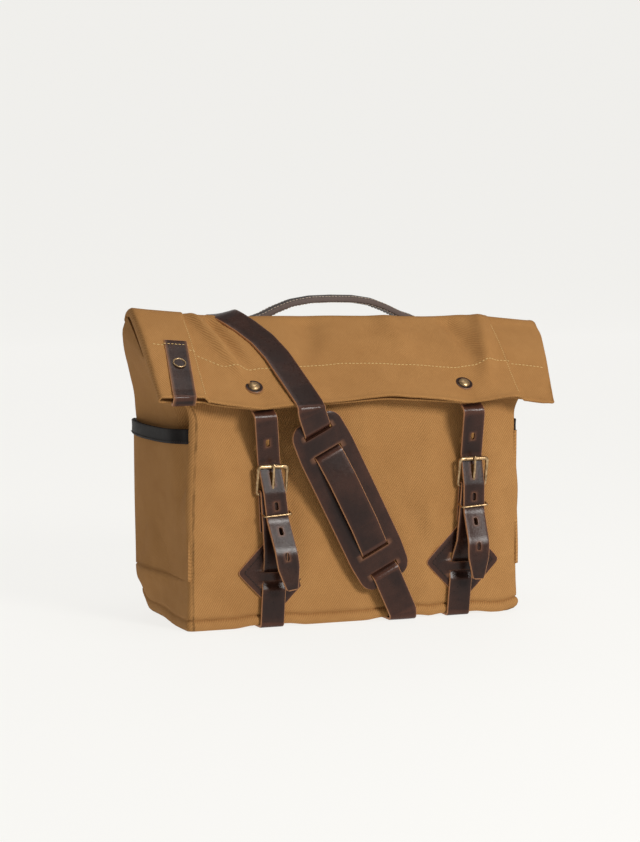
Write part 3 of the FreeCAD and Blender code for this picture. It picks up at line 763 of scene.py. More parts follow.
@dataclass
class Wire(Maker):
    """Round metal wire along a line in one plane."""

    name: str
    line: Sequence[Point]
    radius: float
    plane: Point
    closed: bool = True
    bends: float = 3.0
    step: float = 0.9
    swell: Callable[[np.ndarray], np.ndarray] | None = None

    def build(self) -> bpy.types.Object:
        """Make the wire."""
        line = np.asarray(self.line, float)
        if self.closed:
            middle = (line[0] + line[-1]) / 2
            line = np.vstack((middle, line, middle))
        rows = respaced(rounded(line, self.bends), self.step)
        if self.closed:
            rows = rows[:-1]
            tangent = unit(np.roll(rows, -1, axis=0) - np.roll(rows, 1, axis=0))
        else:
            tangent = unit(np.gradient(rows, axis=0))
        first = unit(np.broadcast_to(np.asarray(self.plane, float), rows.shape))
        second = np.cross(first, tangent)
        around = 14
        radii = np.full(len(rows), self.radius)
        if self.swell is not None:
            radii = radii * self.swell(rows)
        if not self.closed:
            radii[[0, -1]] *= 0.55
        rings = []
        for k, radius in enumerate(radii):
            angles = np.arange(around) * 2 * math.pi / around
            rings.append(rows[k] + radius * (np.outer(np.cos(angles), first[k])
                                             + np.outer(np.sin(angles), second[k])))
        faces = tube_faces(len(rows), around, self.closed)
        piece = make_piece(self.name, np.vstack(rings), faces, Brass(), Slot.BRASS, 50.0)
        carry_rest(piece)
        return piece


@dataclass
class Turned(Maker):
    """A round part turned about an axis: radius and height of each corner of its profile."""

    name: str
    profile: Sequence[tuple[float, float]]
    centre: np.ndarray
    axis: np.ndarray
    finish: Any
    slot: Slot

    def build(self) -> bpy.types.Object:
        """Make the part."""
        around = 40
        turn = Vector((0, 0, 1)).rotation_difference(Vector(self.axis)).to_matrix()
        angles = np.arange(around) * 2 * math.pi / around
        rings = [np.stack((r * np.cos(angles), r * np.sin(angles), np.full(around, h)), axis=1)
                 for r, h in self.profile]
        places = np.vstack(rings) @ np.array(turn).T + self.centre
        faces = tube_faces(len(self.profile), around, False)
        piece = make_piece(self.name, places, faces, self.finish, self.slot, 40.0)
        carry_rest(piece)
        return piece


@dataclass
class Stitching(Maker):
    """A row of sewn stitches lying on a surface."""

    name: str
    rails: Sequence[np.ndarray]
    finish: Any
    slot: Slot
    length: float = 3.0
    pitch: float = 4.2
    radius: float = 0.42
    slant: float = 0.0

    def build(self) -> bpy.types.Object:
        """Make the stitches of every rail in one mesh."""
        points: list[np.ndarray] = []
        faces: list[tuple[int, ...]] = []
        around = 8
        profile = ((-0.5, 0.25), (-0.42, 0.8), (-0.18, 1.0), (0.18, 1.0), (0.42, 0.8), (0.5, 0.25))
        for rail in self.rails:
            rows = respaced(rail, self.pitch)
            tangents = unit(np.gradient(rows[:, :3], axis=0))
            for count, (row, tangent) in enumerate(zip(rows, tangents)):
                up = unit(row[3:] - tangent * np.dot(row[3:], tangent))
                side = np.cross(tangent, up)
                slant = self.slant * (1 if count % 2 else -1)
                heading = unit(tangent + side * slant)
                side = np.cross(heading, up)
                start = len(points)
                for place, share in profile:
                    for k in range(around):
                        angle = 2 * math.pi * k / around
                        points.append(row[:3] + heading * place * self.length
                                      + side * math.cos(angle) * self.radius * share
                                      + up * (math.sin(angle) * share * 0.8
                                              + 0.35 * (share - 1)) * self.radius)
                faces += [tuple(start + f for f in face)
                          for face in tube_faces(len(profile), around, False)]
        piece = make_piece(self.name, np.array(points), faces, self.finish, self.slot, 60.0)
        carry_rest(piece)
        return piece


def settle(piece: bpy.types.Object, body: str, *nodes: str) -> bpy.types.Object:
    """Put a piece on a body in place of CAD nodes, and report it."""
    if nodes:
        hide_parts(*nodes)
    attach(piece, body)
    log.info("%s rides on %s, %d faces", piece.name, body, len(piece.data.polygons))
    return piece


def keep_node(name: str, finish: Any) -> None:
    """Give a CAD node its finish and leave its shape."""
    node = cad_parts[name]
    node.data.materials.clear()
    node.data.materials.append(WARDROBE.get(finish))
    node.data.shade_smooth()
    node.data.set_sharp_from_angle(angle=math.radians(35))
    carry_rest(node)
    log.info("%s keeps its shape", name)


# ---------------------------------------------------------------- the canvas body

STRAP_LINES = (-94.0, 112.0, 46.0)


def beside_straps(x: Any, near: float, far: float) -> Any:
    """0 at a strap line, rising to 1 away from all of them."""
    gap = np.min([np.abs(np.asarray(x, float) - line) for line in STRAP_LINES], axis=0)
    return smooth(gap, near, far)


@dataclass(frozen=True)
class Crease:
    """A soft ridge in the cloth, or a hollow when height is below 0, along a slanted line."""

    height: float
    slant: float
    about: float
    centre: float
    spread: float
    middle: float
    reach: float

    def at(self, across: float, along: float) -> float:
        """How far it lifts the cloth."""
        slanted = across + self.slant * (along - self.about)
        return self.height * bell(slanted, self.centre, self.spread) * bell(along, self.middle, self.reach)


FRONT_CREASES = (
    Crease(3.2, 0.35, 150, -150, 13, 165, 55), Crease(1.6, -0.45, 130, -30, 15, 120, 60),
    Crease(-1.8, -0.5, 130, 2, 14, 110, 60), Crease(2.2, 0.55, 100, 85, 14, 100, 55),
    Crease(-1.8, 0.6, 100, 60, 12, 90, 50), Crease(-2.4, 0.1, 120, -74, 7, 140, 60),
    Crease(-1.8, 0.3, 120, 160, 10, 120, 60), Crease(2.0, -0.25, 190, 78, 13, 200, 26))
GUSSET_CREASE = Crease(-1.8, -0.12, 0, 28, 7, 20, 45)
LOW_CREASES = (Crease(-2.0, 0.5, -150, 30, 8, -150, 26), Crease(2.2, -0.25, 80, 34, 9, 85, 22))


@dataclass
class Body:
    """Lofted canvas shell that sags between the straps and closes to a slit at the top."""

    half_width: float = 180.0
    half_depth: float = 75.0
    corner: float = 6.0
    floor: float = 2.8
    shoulder: float = 206.0
    cloth: float = 2.0

    def outline(self) -> np.ndarray:
        """Points round the base: place, outward direction, distance along."""
        w, d, r = self.half_width, self.half_depth, self.corner
        rows: list[tuple[float, float, float, float]] = []
        sides = (((-w + r, -d), (w - r, -d), (0, -1), 84), ((w, -d + r), (w, d - r), (1, 0), 34),
                 ((w - r, d), (-w + r, d), (0, 1), 84), ((-w, d - r), (-w, -d + r), (-1, 0), 34))
        for (x0, y0), (x1, y1), (nx, ny), count in sides:
            for t in np.linspace(0, 1, count):
                rows.append((x0 + (x1 - x0) * t, y0 + (y1 - y0) * t, nx, ny))
            start = math.atan2(ny, nx)
            centre = (x1 - nx * r, y1 - ny * r)
            for k in range(1, 5):
                a = start + math.pi / 2 * k / 5
                rows.append((centre[0] + r * math.cos(a), centre[1] + r * math.sin(a),
                             math.cos(a), math.sin(a)))
        table = np.array(rows)
        steps = np.linalg.norm(np.diff(table[:, :2], axis=0, append=table[:1, :2]), axis=1)
        return np.hstack((table, (np.cumsum(steps) - steps)[:, None]))

    def rows(self) -> list[tuple[float, float, float, float, float]]:
        """Rows from the base up: front y and z, back y and z, share of the way to the slit."""
        low = [2.8, 3.5, 4.8, 6.4, 8.2, 9.8, 11.2, 12.1, 12.9, 14.0, 17.0, 22.0, 28.0, 34.0, 40.0,
               45.0, 48.8, 49.9, 51.0, 53.5]
        low += list(np.arange(59.0, self.shoulder, 5.5))
        d = self.half_depth
        rows = [(-d, z, d, z, 0.0) for z in low]
        front = respaced(rounded(np.array([(-d, self.shoulder, 0), (-d, 229.0, 0), (-35.0, 260.8, 0)]),
                                 12.0), 0.5)
        back = respaced(rounded(np.array([(d, self.shoulder, 0), (d, 214.0, 0), (19.5, 296.3, 0)]),
                                16.0), 0.5)
        for t in np.linspace(0, 1, 22):
            fy, fz, _ = front[int(t * (len(front) - 1))]
            by, bz, _ = back[int(t * (len(back) - 1))]
            rows.append((fy, fz, by, bz, float(t)))
        return rows

    def relief(self, x: float, y: float, z: float, nx: float, ny: float, up: float) -> float:
        """How far the cloth stands out from the plain box at one place."""
        across = abs(x) / self.half_width
        open_cloth = float(beside_straps(x, 15.0, 42.0))
        belly = max(0.0, 1 - across ** 3) * math.sin(math.pi * min(max(z / 236.0, 0.0), 1.0))
        loose = smooth(z, 14.0, 40.0) * (1 - up ** 2)
        ripple = wobble((x * 0.9, y, z * 0.55), 52.0) * 2.6 + wobble((x, y, z * 0.8), 21.0, 7.0) * 0.7
        out = 0.0
        if ny < -0.3:
            out += belly * (0.6 + 3.6 * open_cloth) + ripple * loose * (0.25 + open_cloth)
            out += sum(crease.at(x, z) for crease in FRONT_CREASES)
            out += sum(crease.at(z, x) for crease in LOW_CREASES)
        elif ny > 0.3:
            out += belly * 4.0 * open_cloth + ripple * loose * (0.2 + open_cloth)
        else:
            rear = smooth(y, -20.0, 75.0)
            out += 8.0 * rear * smooth(z, -4.0, 38.0) * (1 - up * 0.5)
            out -= 15.0 * bell(y, -57.0, 16.0) * smooth(z, 120.0, 190.0) * (1 - smooth(up, 0.7, 1.0))
            out += ripple * loose * 1.4 + 2.5 * bell(y, 0.0, 40.0) * smooth(z, 30.0, 110.0)
            wrap = 1.7 * smooth(z, 14.0, 44.0) + 0.5
            out += wrap * (1 - smooth(z, 49.4, 50.4)) * smooth(y, -72.0, -50.0)
            out += GUSSET_CREASE.at(z, y)
        if ny > -0.3 and abs(nx) > 0.3 and y > 0:
            out += 3.0 * smooth(z, 20.0, 100.0) * abs(ny)
        seam = 2.0 * bell(z, 7.0, 3.8) - 2.6 * bell(z, 12.4, 1.0)
        return out + seam * (1.0 if abs(ny) > 0.3 else 0.45)

    def place(self, spot: np.ndarray, row: tuple[float, float, float, float, float]) -> np.ndarray:
        """Place in space of one point of the outline on one row."""
        cx, cy, nx, ny, _ = spot
        fy, fz, by, bz, up = row
        share = (cy + self.half_depth) / (2 * self.half_depth)
        y = fy + (by - fy) * share
        z = fz + (bz - fz) * share
        flare = smooth(up, 0.0, 1.0) * 34.5
        lean_in = 4.0 * smooth(z, 110.0, 225.0) * (1 - share) * (1 - up)
        x = cx * (self.half_width + flare - lean_in) / self.half_width
        out = self.relief(cx, y, z, nx, ny, up) * (1 - smooth(up, 0.82, 1.0))
        x, y = x + nx * out, y + ny * out
        z -= 2.3 * beside_straps(cx, 17.0, 40.0) * (1 - smooth(z, 4.0, 30.0))
        rear = 4.0 * smooth(y, -40.0, 20.0) + 13.0 * smooth(y, 48.0, 76.0)
        z += rear * (1 - smooth(z, 3.0, 50.0)) * smooth(abs(cx), 150.0, 178.0)
        z += 5.0 * smooth(cx, 158.0, 181.0) * (1 - smooth(y, -60.0, -20.0)) * (1 - smooth(z, 3.0, 30.0))
        close = 5.6 * smooth(abs(cx), 128.0, 172.0) * smooth(up, 0.55, 1.0)
        y, z = y + OFF[0] * close, z + OFF[1] * close
        return settled((x, y, z))

    def build(self) -> None:
        """Make the shell and put it in place of the flat panels."""
        outline, rows = self.outline(), self.rows()
        count = len(outline)
        points: list[np.ndarray] = []
        weave: list[tuple[float, float, float]] = []
        foot = [self.place(spot, rows[0]) for spot in outline]
        for share in (0.03, 0.35, 0.7, 0.93, 0.985):
            for place in foot:
                x, y = place[0] * share, place[1] * share
                sag = 2.0 * float(beside_straps(x, 17.0, 40.0))
                lift = max(0.0, place[2] - self.floor) * share ** 12
                points.append(np.array((x, y, self.floor - sag + lift)))
                weave.append((x, y, 0.0))
        rise, before = 0.0, rows[0]
        for row in rows:
            rise += math.hypot(row[0] - before[0], row[1] - before[1])
            before = row
            for spot in outline:
                points.append(self.place(spot, row))
                weave.append((spot[4], rise, 0.0))
        faces = tube_faces(len(points) // count, count, False)[:-1]
        shell = make_piece("canvas_body", np.array(points), faces, Canvas(), Slot.CANVAS, 60.0)
        carry(shell, "weave", np.array(weave))
        carry_rest(shell)
        thicken(shell, self.cloth)
        settle(shell, "bag", "front_panel", "back_panel", "left_gusset", "right_gusset",
               "base_panel", "front_welt", "back_welt")


@dataclass
class SidePocket:
    """Pocket on a gusset with a leather binding along its mouth."""

    side: str
    low: float = 50.0
    mouth: float = 188.0
    cloth: float = 1.8

    def out(self, y: float, z: float) -> float:
        """Distance of the pocket's face from the middle plane of the bag."""
        sign = SIDES[self.side]
        across = (y + 74.0) / 150.0
        arch = max(0.0, math.sin(math.pi * min(max(across, 0.0), 1.0))) ** 0.7
        rise = smooth(z, self.low, self.mouth)
        rear = 8.2 * smooth(y, -20.0, 74.0) * smooth(z, -4.0, 38.0)
        ripple = wobble((sign * 180.0, y * 0.8, z * 0.6), 40.0, 3.0) * 1.1 * arch
        dent = 5.5 * bell(y, -64.0, 14.0) * smooth(z, 60.0, 150.0)
        return 179.9 + 0.7 * rise + arch * (0.2 + 8.0 * rise) + rear + ripple * rise - dent

    def build(self) -> None:
        """Make the pocket and its binding."""
        sign = SIDES[self.side]
        ys = np.concatenate(([-74.4], np.linspace(-73.6, 77.0, 46), [79.0]))
        zs = np.concatenate(([self.low - 0.6, self.low], np.linspace(self.low + 2, self.mouth, 34)))
        points, weave = [], []
        for z in zs:
            for y in ys:
                out = self.out(y, z)
                if y in (ys[0], ys[-1]) or z == zs[0]:
                    out -= 3.0
                tuck = 2.5 * smooth(y, 40.0, 79.0) * (1 - smooth(z, 40.0, 125.0))
                points.append((sign * out, y - tuck, z))
                weave.append((y, z, 0.0))
        wide = len(ys)
        faces = [(r * wide + c, r * wide + c + 1, (r + 1) * wide + c + 1, (r + 1) * wide + c)
                 for r in range(len(zs) - 1) for c in range(wide - 1)]
        pocket = make_piece(f"{self.side}_side_pocket", np.array(points), faces, Canvas(), Slot.CANVAS,
                            60.0)
        facing = sum(p.normal.x * p.area for p in pocket.data.polygons)
        if facing * sign < 0:
            pocket.data.flip_normals()
        carry(pocket, "weave", np.array(weave))
        carry_rest(pocket)
        thicken(pocket, self.cloth)
        settle(pocket, "bag", f"{self.side}_pocket")
        self.bind(sign)

    def bind(self, sign: int) -> None:
        """Make the folded leather edge and its seam."""
        ys = np.linspace(-73.0, 79.0, 40)
        middle = 193.0
        line = []
        for y in ys:
            tucked = 3.5 * float(smooth(abs(y - 3.0), 70.0, 76.0))
            x = sign * (self.out(y, self.mouth) + 0.4 - tucked)
            line.append((x, y, middle - 2.5 * math.sin((y + 75) / 48.5)))
        binding = Strap(f"{self.side}_mouth_binding", line, 15.0, 4.4, (0, 0, 1.0), radii=10.0, step=3.0,
                        finish=BINDING_LEATHER, slot=Slot.EDGE, cup=0.5 * sign)
        binding.on("bag", f"{self.side}_pocket_binding")
        outward = 2.6 if binding.normal[5][0] * sign > 0 else -2.6
        low = -5.0 if binding.side[5][2] > 0 else 5.0
        Stitching(f"{self.side}_binding_seam", [binding.rail(2, 150, low, outward)], BROWN_THREAD,
                  Slot.EDGE, 2.6, 3.6, 0.4).on("bag")


# ---------------------------------------------------------------- the roll-top


# Folds of the roll-top: height, slant, middle and width across, and the reaches between
# which they fade.
FLAP_FOLDS = (
    (6.67, -0.32, -150.0, 7.0, 50.0, 118.0), (-7.54, -0.30, -135.0, 7.0, 30.0, 100.0),
    (7.25, 0.25, 166.0, 9.0, 60.0, 125.0), (-6.67, -0.15, 128.0, 10.0, 30.0, 90.0),
    (5.22, -0.1, 60.0, 15.0, 20.0, 80.0), (-4.93, 0.2, -30.0, 14.0, 20.0, 90.0))
ROLL_COLUMNS = np.concatenate((
    np.linspace(0, 0.11, 14)[:-1], np.linspace(0.11, 0.15, 12)[:-1], np.linspace(0.15, 0.86, 84)[:-1],
    np.linspace(0.86, 0.91, 14)[:-1], np.linspace(0.91, 1.0, 12)))
ROLL_ROWS = np.concatenate((np.linspace(0, 0.3, 17)[:-1], np.linspace(0.3, 0.94, 24)[:-1],
                            np.linspace(0.94, 1.0, 7)))


@dataclass
class RollTop:
    """Flattened tube of canvas rolled over the front: two layers joined at rounded ends."""

    cloth: float = 1.8
    rear: float = -30.0
    studs: tuple[float, float] = (-113.5, 114.0)
    stud_reach: float = 101.0
    left_end: float = -213.0
    flat_width: float = 426.0
    lower: tuple[tuple[float, ...], tuple[float, ...]] = (
        (-213, -170, -140, -114, -73, -25, 25, 67, 110, 162, 176, 203, 228),
        (120, 121.5, 128, 131, 129, 126, 122.5, 126, 130.5, 125, 126, 131, 131))
    row: tuple[tuple[float, ...], tuple[float, ...]] = (
        (-208, -183, -161, -140, -120, -56, -14, 60, 110, 140, 164, 176, 212),
        (54, 55, 62, 74.5, 77, 75, 72, 75, 79, 76, 71.5, 72, 75))

    def edge(self, x: float) -> float:
        """Reach of the lower edge."""
        return float(np.interp(x, *self.lower))

    def right_end(self, reach: float) -> float:
        """Where the right end of the roll is."""
        return 233.0 - 29.0 * float(np.clip((reach - 10.0) / 120.0, 0.0, 1.0))

    def pleat(self, reach: float, side: int) -> float:
        """Where the pleat near one end is."""
        if side < 0:
            return -161.0 - 5.5 * (reach + 11.0) / 127.0
        return 178.0 - 7.0 * (reach - 12.0) / 109.0

    def folds(self, x: float, reach: float) -> float:
        """Soft folds that run down from the ridge."""
        share = smooth(reach, -12.0, 8.0)
        out = sum(height * bell(x + slant * reach, centre, spread) * (1 - smooth(reach, fades, gone))
                  for height, slant, centre, spread, fades, gone in FLAP_FOLDS)
        return float(out * share)

    def level(self, x: float, reach: float) -> float:
        """Height of the outer layer above the cloth below."""
        base = float(np.interp(reach, (-26.0, -6.0, 10.0, 60.0, 131.0), (14.9, 13.9, 13.2, 11.8, 11.2)))
        wave = float(np.interp(x, (-213, -170, -140, -110, -60, -10, 30, 75, 114, 150, 200, 226),
                               (0.8, 1.5, 2.0, -0.8, 1.5, 3.5, 5.0, 3.0, -0.8, 2.0, 0.5, -2.0)))
        base += wave * float(smooth(reach, 50.0, 128.0))
        puff = 4.4 * bell(reach, 50.0, 42.0)
        front = float(smooth(reach, -14.0, 4.0))
        base += (puff + 1.3 * wobble((x * 0.8, reach * 0.4, 0), 34.0, 2.0)
                 + 0.35 * wobble((x, reach, 5), 12.0)) * front + self.folds(x, reach)
        for stud in self.studs:
            gap = math.hypot(x - stud, (reach - self.stud_reach) * 0.8)
            base -= 1.2 * float(bell(gap, 0.0, 13.0))
        base += 4.6 * front * float(1 - smooth(x, self.pleat(reach, -1) - 0.9, self.pleat(reach, -1) + 0.4))
        base -= 3.8 * front * float(smooth(x, self.pleat(reach, 1) - 0.4, self.pleat(reach, 1) + 0.9))
        base += 0.8 * float(bell(reach, self.edge(x) - 1.5, 2.2))
        return base

    def across(self, column: float, reach: float) -> float:
        """Place across the bag of a column, which leans with the right end."""
        return self.left_end + column * (self.right_end(reach) - self.left_end)

    def ring(self, share: float) -> tuple[list[np.ndarray], list[tuple[float, float, float]]]:
        """One row of the tube: outer layer, right end, inner layer and left end."""
        places: list[np.ndarray] = []
        weave: list[tuple[float, float, float]] = []

        def add(x: float, reach: float, level: float) -> None:
            """Add one place of a layer."""
            places.append(on_flap(x, reach, level))
            weave.append((x, reach, 0.0))

        for column in ROLL_COLUMNS:
            reach = self.outer_reach(self.left_end + column * self.flat_width, share)
            x = self.across(column, reach)
            add(x, reach, self.level(x, reach))
        self.fold(places, weave, (x, reach), share, 1)
        for column in np.linspace(1, 0, 50):
            reach = self.inner_reach(self.left_end + column * self.flat_width, share)
            x = self.across(column, reach)
            add(x, reach, self.inner_level(x, reach))
        self.fold(places, weave, (self.left_end, self.outer_reach(self.left_end, share)), share, -1)
        return places, weave

    def outer_reach(self, x: float, share: float) -> float:
        """Reach of the outer layer on one row."""
        return self.rear + share * (self.edge(x) - self.rear)

    def inner_reach(self, x: float, share: float) -> float:
        """Reach of the inner layer on one row."""
        return -12.0 + share * (self.edge(x) - 3.5 + 12.0)

    def inner_level(self, x: float, reach: float) -> float:
        """Height of the inner layer above the cloth below."""
        wave = 0.35 * (self.level(x, max(reach, 0.0)) - 12.0)
        return 6.2 + max(wave, -0.2) * float(smooth(reach, 60.0, 130.0))

    def fold(self, places: list[np.ndarray], weave: list[tuple[float, float, float]],
             end: tuple[float, float], share: float, side: int) -> None:
        """Add the rounded end of the tube between its two layers."""
        x, reach = end
        inner = self.inner_reach(x, share)
        top, low = self.level(x, reach), self.inner_level(x, inner)
        for k in range(1, 6):
            angle = math.pi * k / 6
            if side < 0:
                angle = math.pi - angle
            blend = (1 - math.cos(angle)) / 2
            bulge = 3.0 * math.sin(angle)
            mid = reach + (inner - reach) * blend
            places.append(on_flap(x + side * bulge, mid, top + (low - top) * blend))
            weave.append((x + side * bulge * 2, mid, 0.0))

    def build(self) -> None:
        """Make the roll with its seams."""
        points: list[np.ndarray] = []
        weave: list[tuple[float, float, float]] = []
        for share in ROLL_ROWS:
            places, marks = self.ring(float(share))
            count = len(places)
            points += places
            weave += marks
        faces = tube_faces(len(ROLL_ROWS), count, False)[:-2]
        roll = make_piece("roll_top", np.array(points), faces, Canvas(), Slot.CANVAS, 60.0)
        carry(roll, "weave", np.array(weave))
        carry_rest(roll)
        self.face_out(roll)
        thicken(roll, self.cloth)
        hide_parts("flap_outer", "flap_inner", "left_flap_side", "right_flap_side")
        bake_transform(roll)
        log.info("%s bends from bag to flap, %d faces", roll.name, len(roll.data.polygons))
        self.sew()

    def face_out(self, roll: bpy.types.Object) -> None:
        """Make sure that the outer layer faces away from the bag."""
        facing = 0.0
        for polygon in roll.data.polygons:
            y, z = polygon.center.y / MM - RIDGE[0], polygon.center.z / MM - RIDGE[1]
            if y * OFF[0] + z * OFF[1] > 9.0:
                facing += polygon.normal.y * OFF[0] + polygon.normal.z * OFF[1]
        if facing < 0:
            roll.data.flip_normals()

    def surface_rail(self, spots: Iterable[tuple[float, float]], above: float) -> np.ndarray:
        """Places on the outer layer with the direction away from it."""
        return np.array([np.concatenate((on_flap(x, s, self.level(x, s) + above), OFF_3D))
                         for x, s in spots])

    def sew(self) -> None:
        """Sew the row across the roll and the pleats."""
        across = [(x, float(np.interp(x, *self.row))) for x in np.linspace(-206, 212, 240)
                  if x < self.right_end(75) - 3]
        Stitching("roll_seam", [self.surface_rail(across, 0.2)], CREAM_THREAD, Slot.CANVAS, 2.9, 4.1,
                  0.42).on("flap")
        rails = []
        for side in SIDES.values():
            spots = [(self.pleat(s, side) - 2.6, s) for s in np.linspace(14, 116, 70)]
            rails.append(self.surface_rail(spots, 0.1))
        Stitching("pleat_seams", rails, CREAM_THREAD, Slot.CANVAS, 1.8, 3.0, 0.3).on("flap")


@dataclass
class NameTab:
    """Blank leather tab folded round the lower edge, with a plain brass ring."""

    roll: RollTop
    width: float = 23.5
    top: float = 48.0
    fold_x: float = -190.0
    ring_reach: float = 79.0
    ring_radius: float = 6.1
    seam_reach: float = 54.5

    def centre_x(self, reach: float) -> float:
        """Middle of the tab."""
        return -183.0 - 8.0 * (reach - self.top) / 72.0

    def build(self) -> None:
        """Make the tab, its ring and its seam."""
        edge = self.roll.edge(self.fold_x) + 1.6
        spots = [(s, self.roll.level(self.centre_x(s), s) + 0.9)
                 for s in np.linspace(self.top, edge - 1, 16)]
        spots += [(edge, self.roll.level(self.fold_x, edge) - 0.5), (edge, 9.6), (edge - 4, 9.2),
                  (edge - 16, 9.2)]
        line = [on_flap(self.centre_x(s), s, level) for s, level in spots]
        Strap("name_tab_leather", line, self.width, 1.9, radii=0.8, step=1.2,
              worn=0.8).on("flap", "name_tab")
        x, s = self.centre_x(self.ring_reach), self.ring_reach
        centre = on_flap(x, s, self.roll.level(x, s) + 2.2)
        down = np.array((0.0, *DOWN))
        circle = [centre + self.ring_radius * (math.cos(a) * X_AXIS + math.sin(a) * down)
                  for a in np.linspace(0, 2 * math.pi, 28, endpoint=False)]
        Wire("name_tab_ring", circle, 0.75, OFF_3D, bends=2.0).on("flap", "tab_ring")
        rail = self.roll.surface_rail([(x, self.seam_reach) for x in np.linspace(-195.5, -172.5, 12)], 2.1)
        Stitching("name_tab_seam", [rail], CREAM_THREAD, Slot.CANVAS, 2.6, 3.6, 0.42).on("flap")


@dataclass
class Stud:
    """Domed brass stud on a leather washer."""

    side: str
    roll: RollTop
    cap: float = 5.9
    washer: float = 9.4

    def build(self) -> None:
        """Make the cap and the washer."""
        x = self.roll.studs[0 if self.side == "left" else 1]
        reach = self.roll.stud_reach
        seat = on_flap(x, reach, self.roll.level(x, reach) - 0.3)
        w = self.washer
        profile = ((2.2, 0), (w - 0.3, 0), (w, 0.6), (w - 0.2, 1.3), (w - 1.1, 2.0), (w - 2.4, 2.2),
                   (5.6, 1.7), (4.8, 1.0), (2.2, 0.9))
        washer = Turned(f"{self.side}_stud_ring", profile, seat, OFF_3D, STRAP_LEATHER, Slot.STRAP).build()
        centre = points_of(washer) - seat
        carry(washer, "edge", smooth(np.linalg.norm(centre, axis=1), w - 0.9, w + 0.3) * 0.8)
        settle(washer, "flap", f"{self.side}_stud_washer")
        c = self.cap
        dome = [(c * math.cos(a), 1.5 + 3.2 * math.sin(a)) for a in np.linspace(0.0, 1.5, 12)]
        Turned(f"{self.side}_stud_cap", [(2.0, 0), (c - 0.6, 0.9), (c - 0.1, 1.2)] + dome, seat, OFF_3D,
               Brass(), Slot.BRASS).on("flap", f"{self.side}_stud")
        keep_node(f"{self.side}_stud_burr", Brass())


# ---------------------------------------------------------------- closure straps


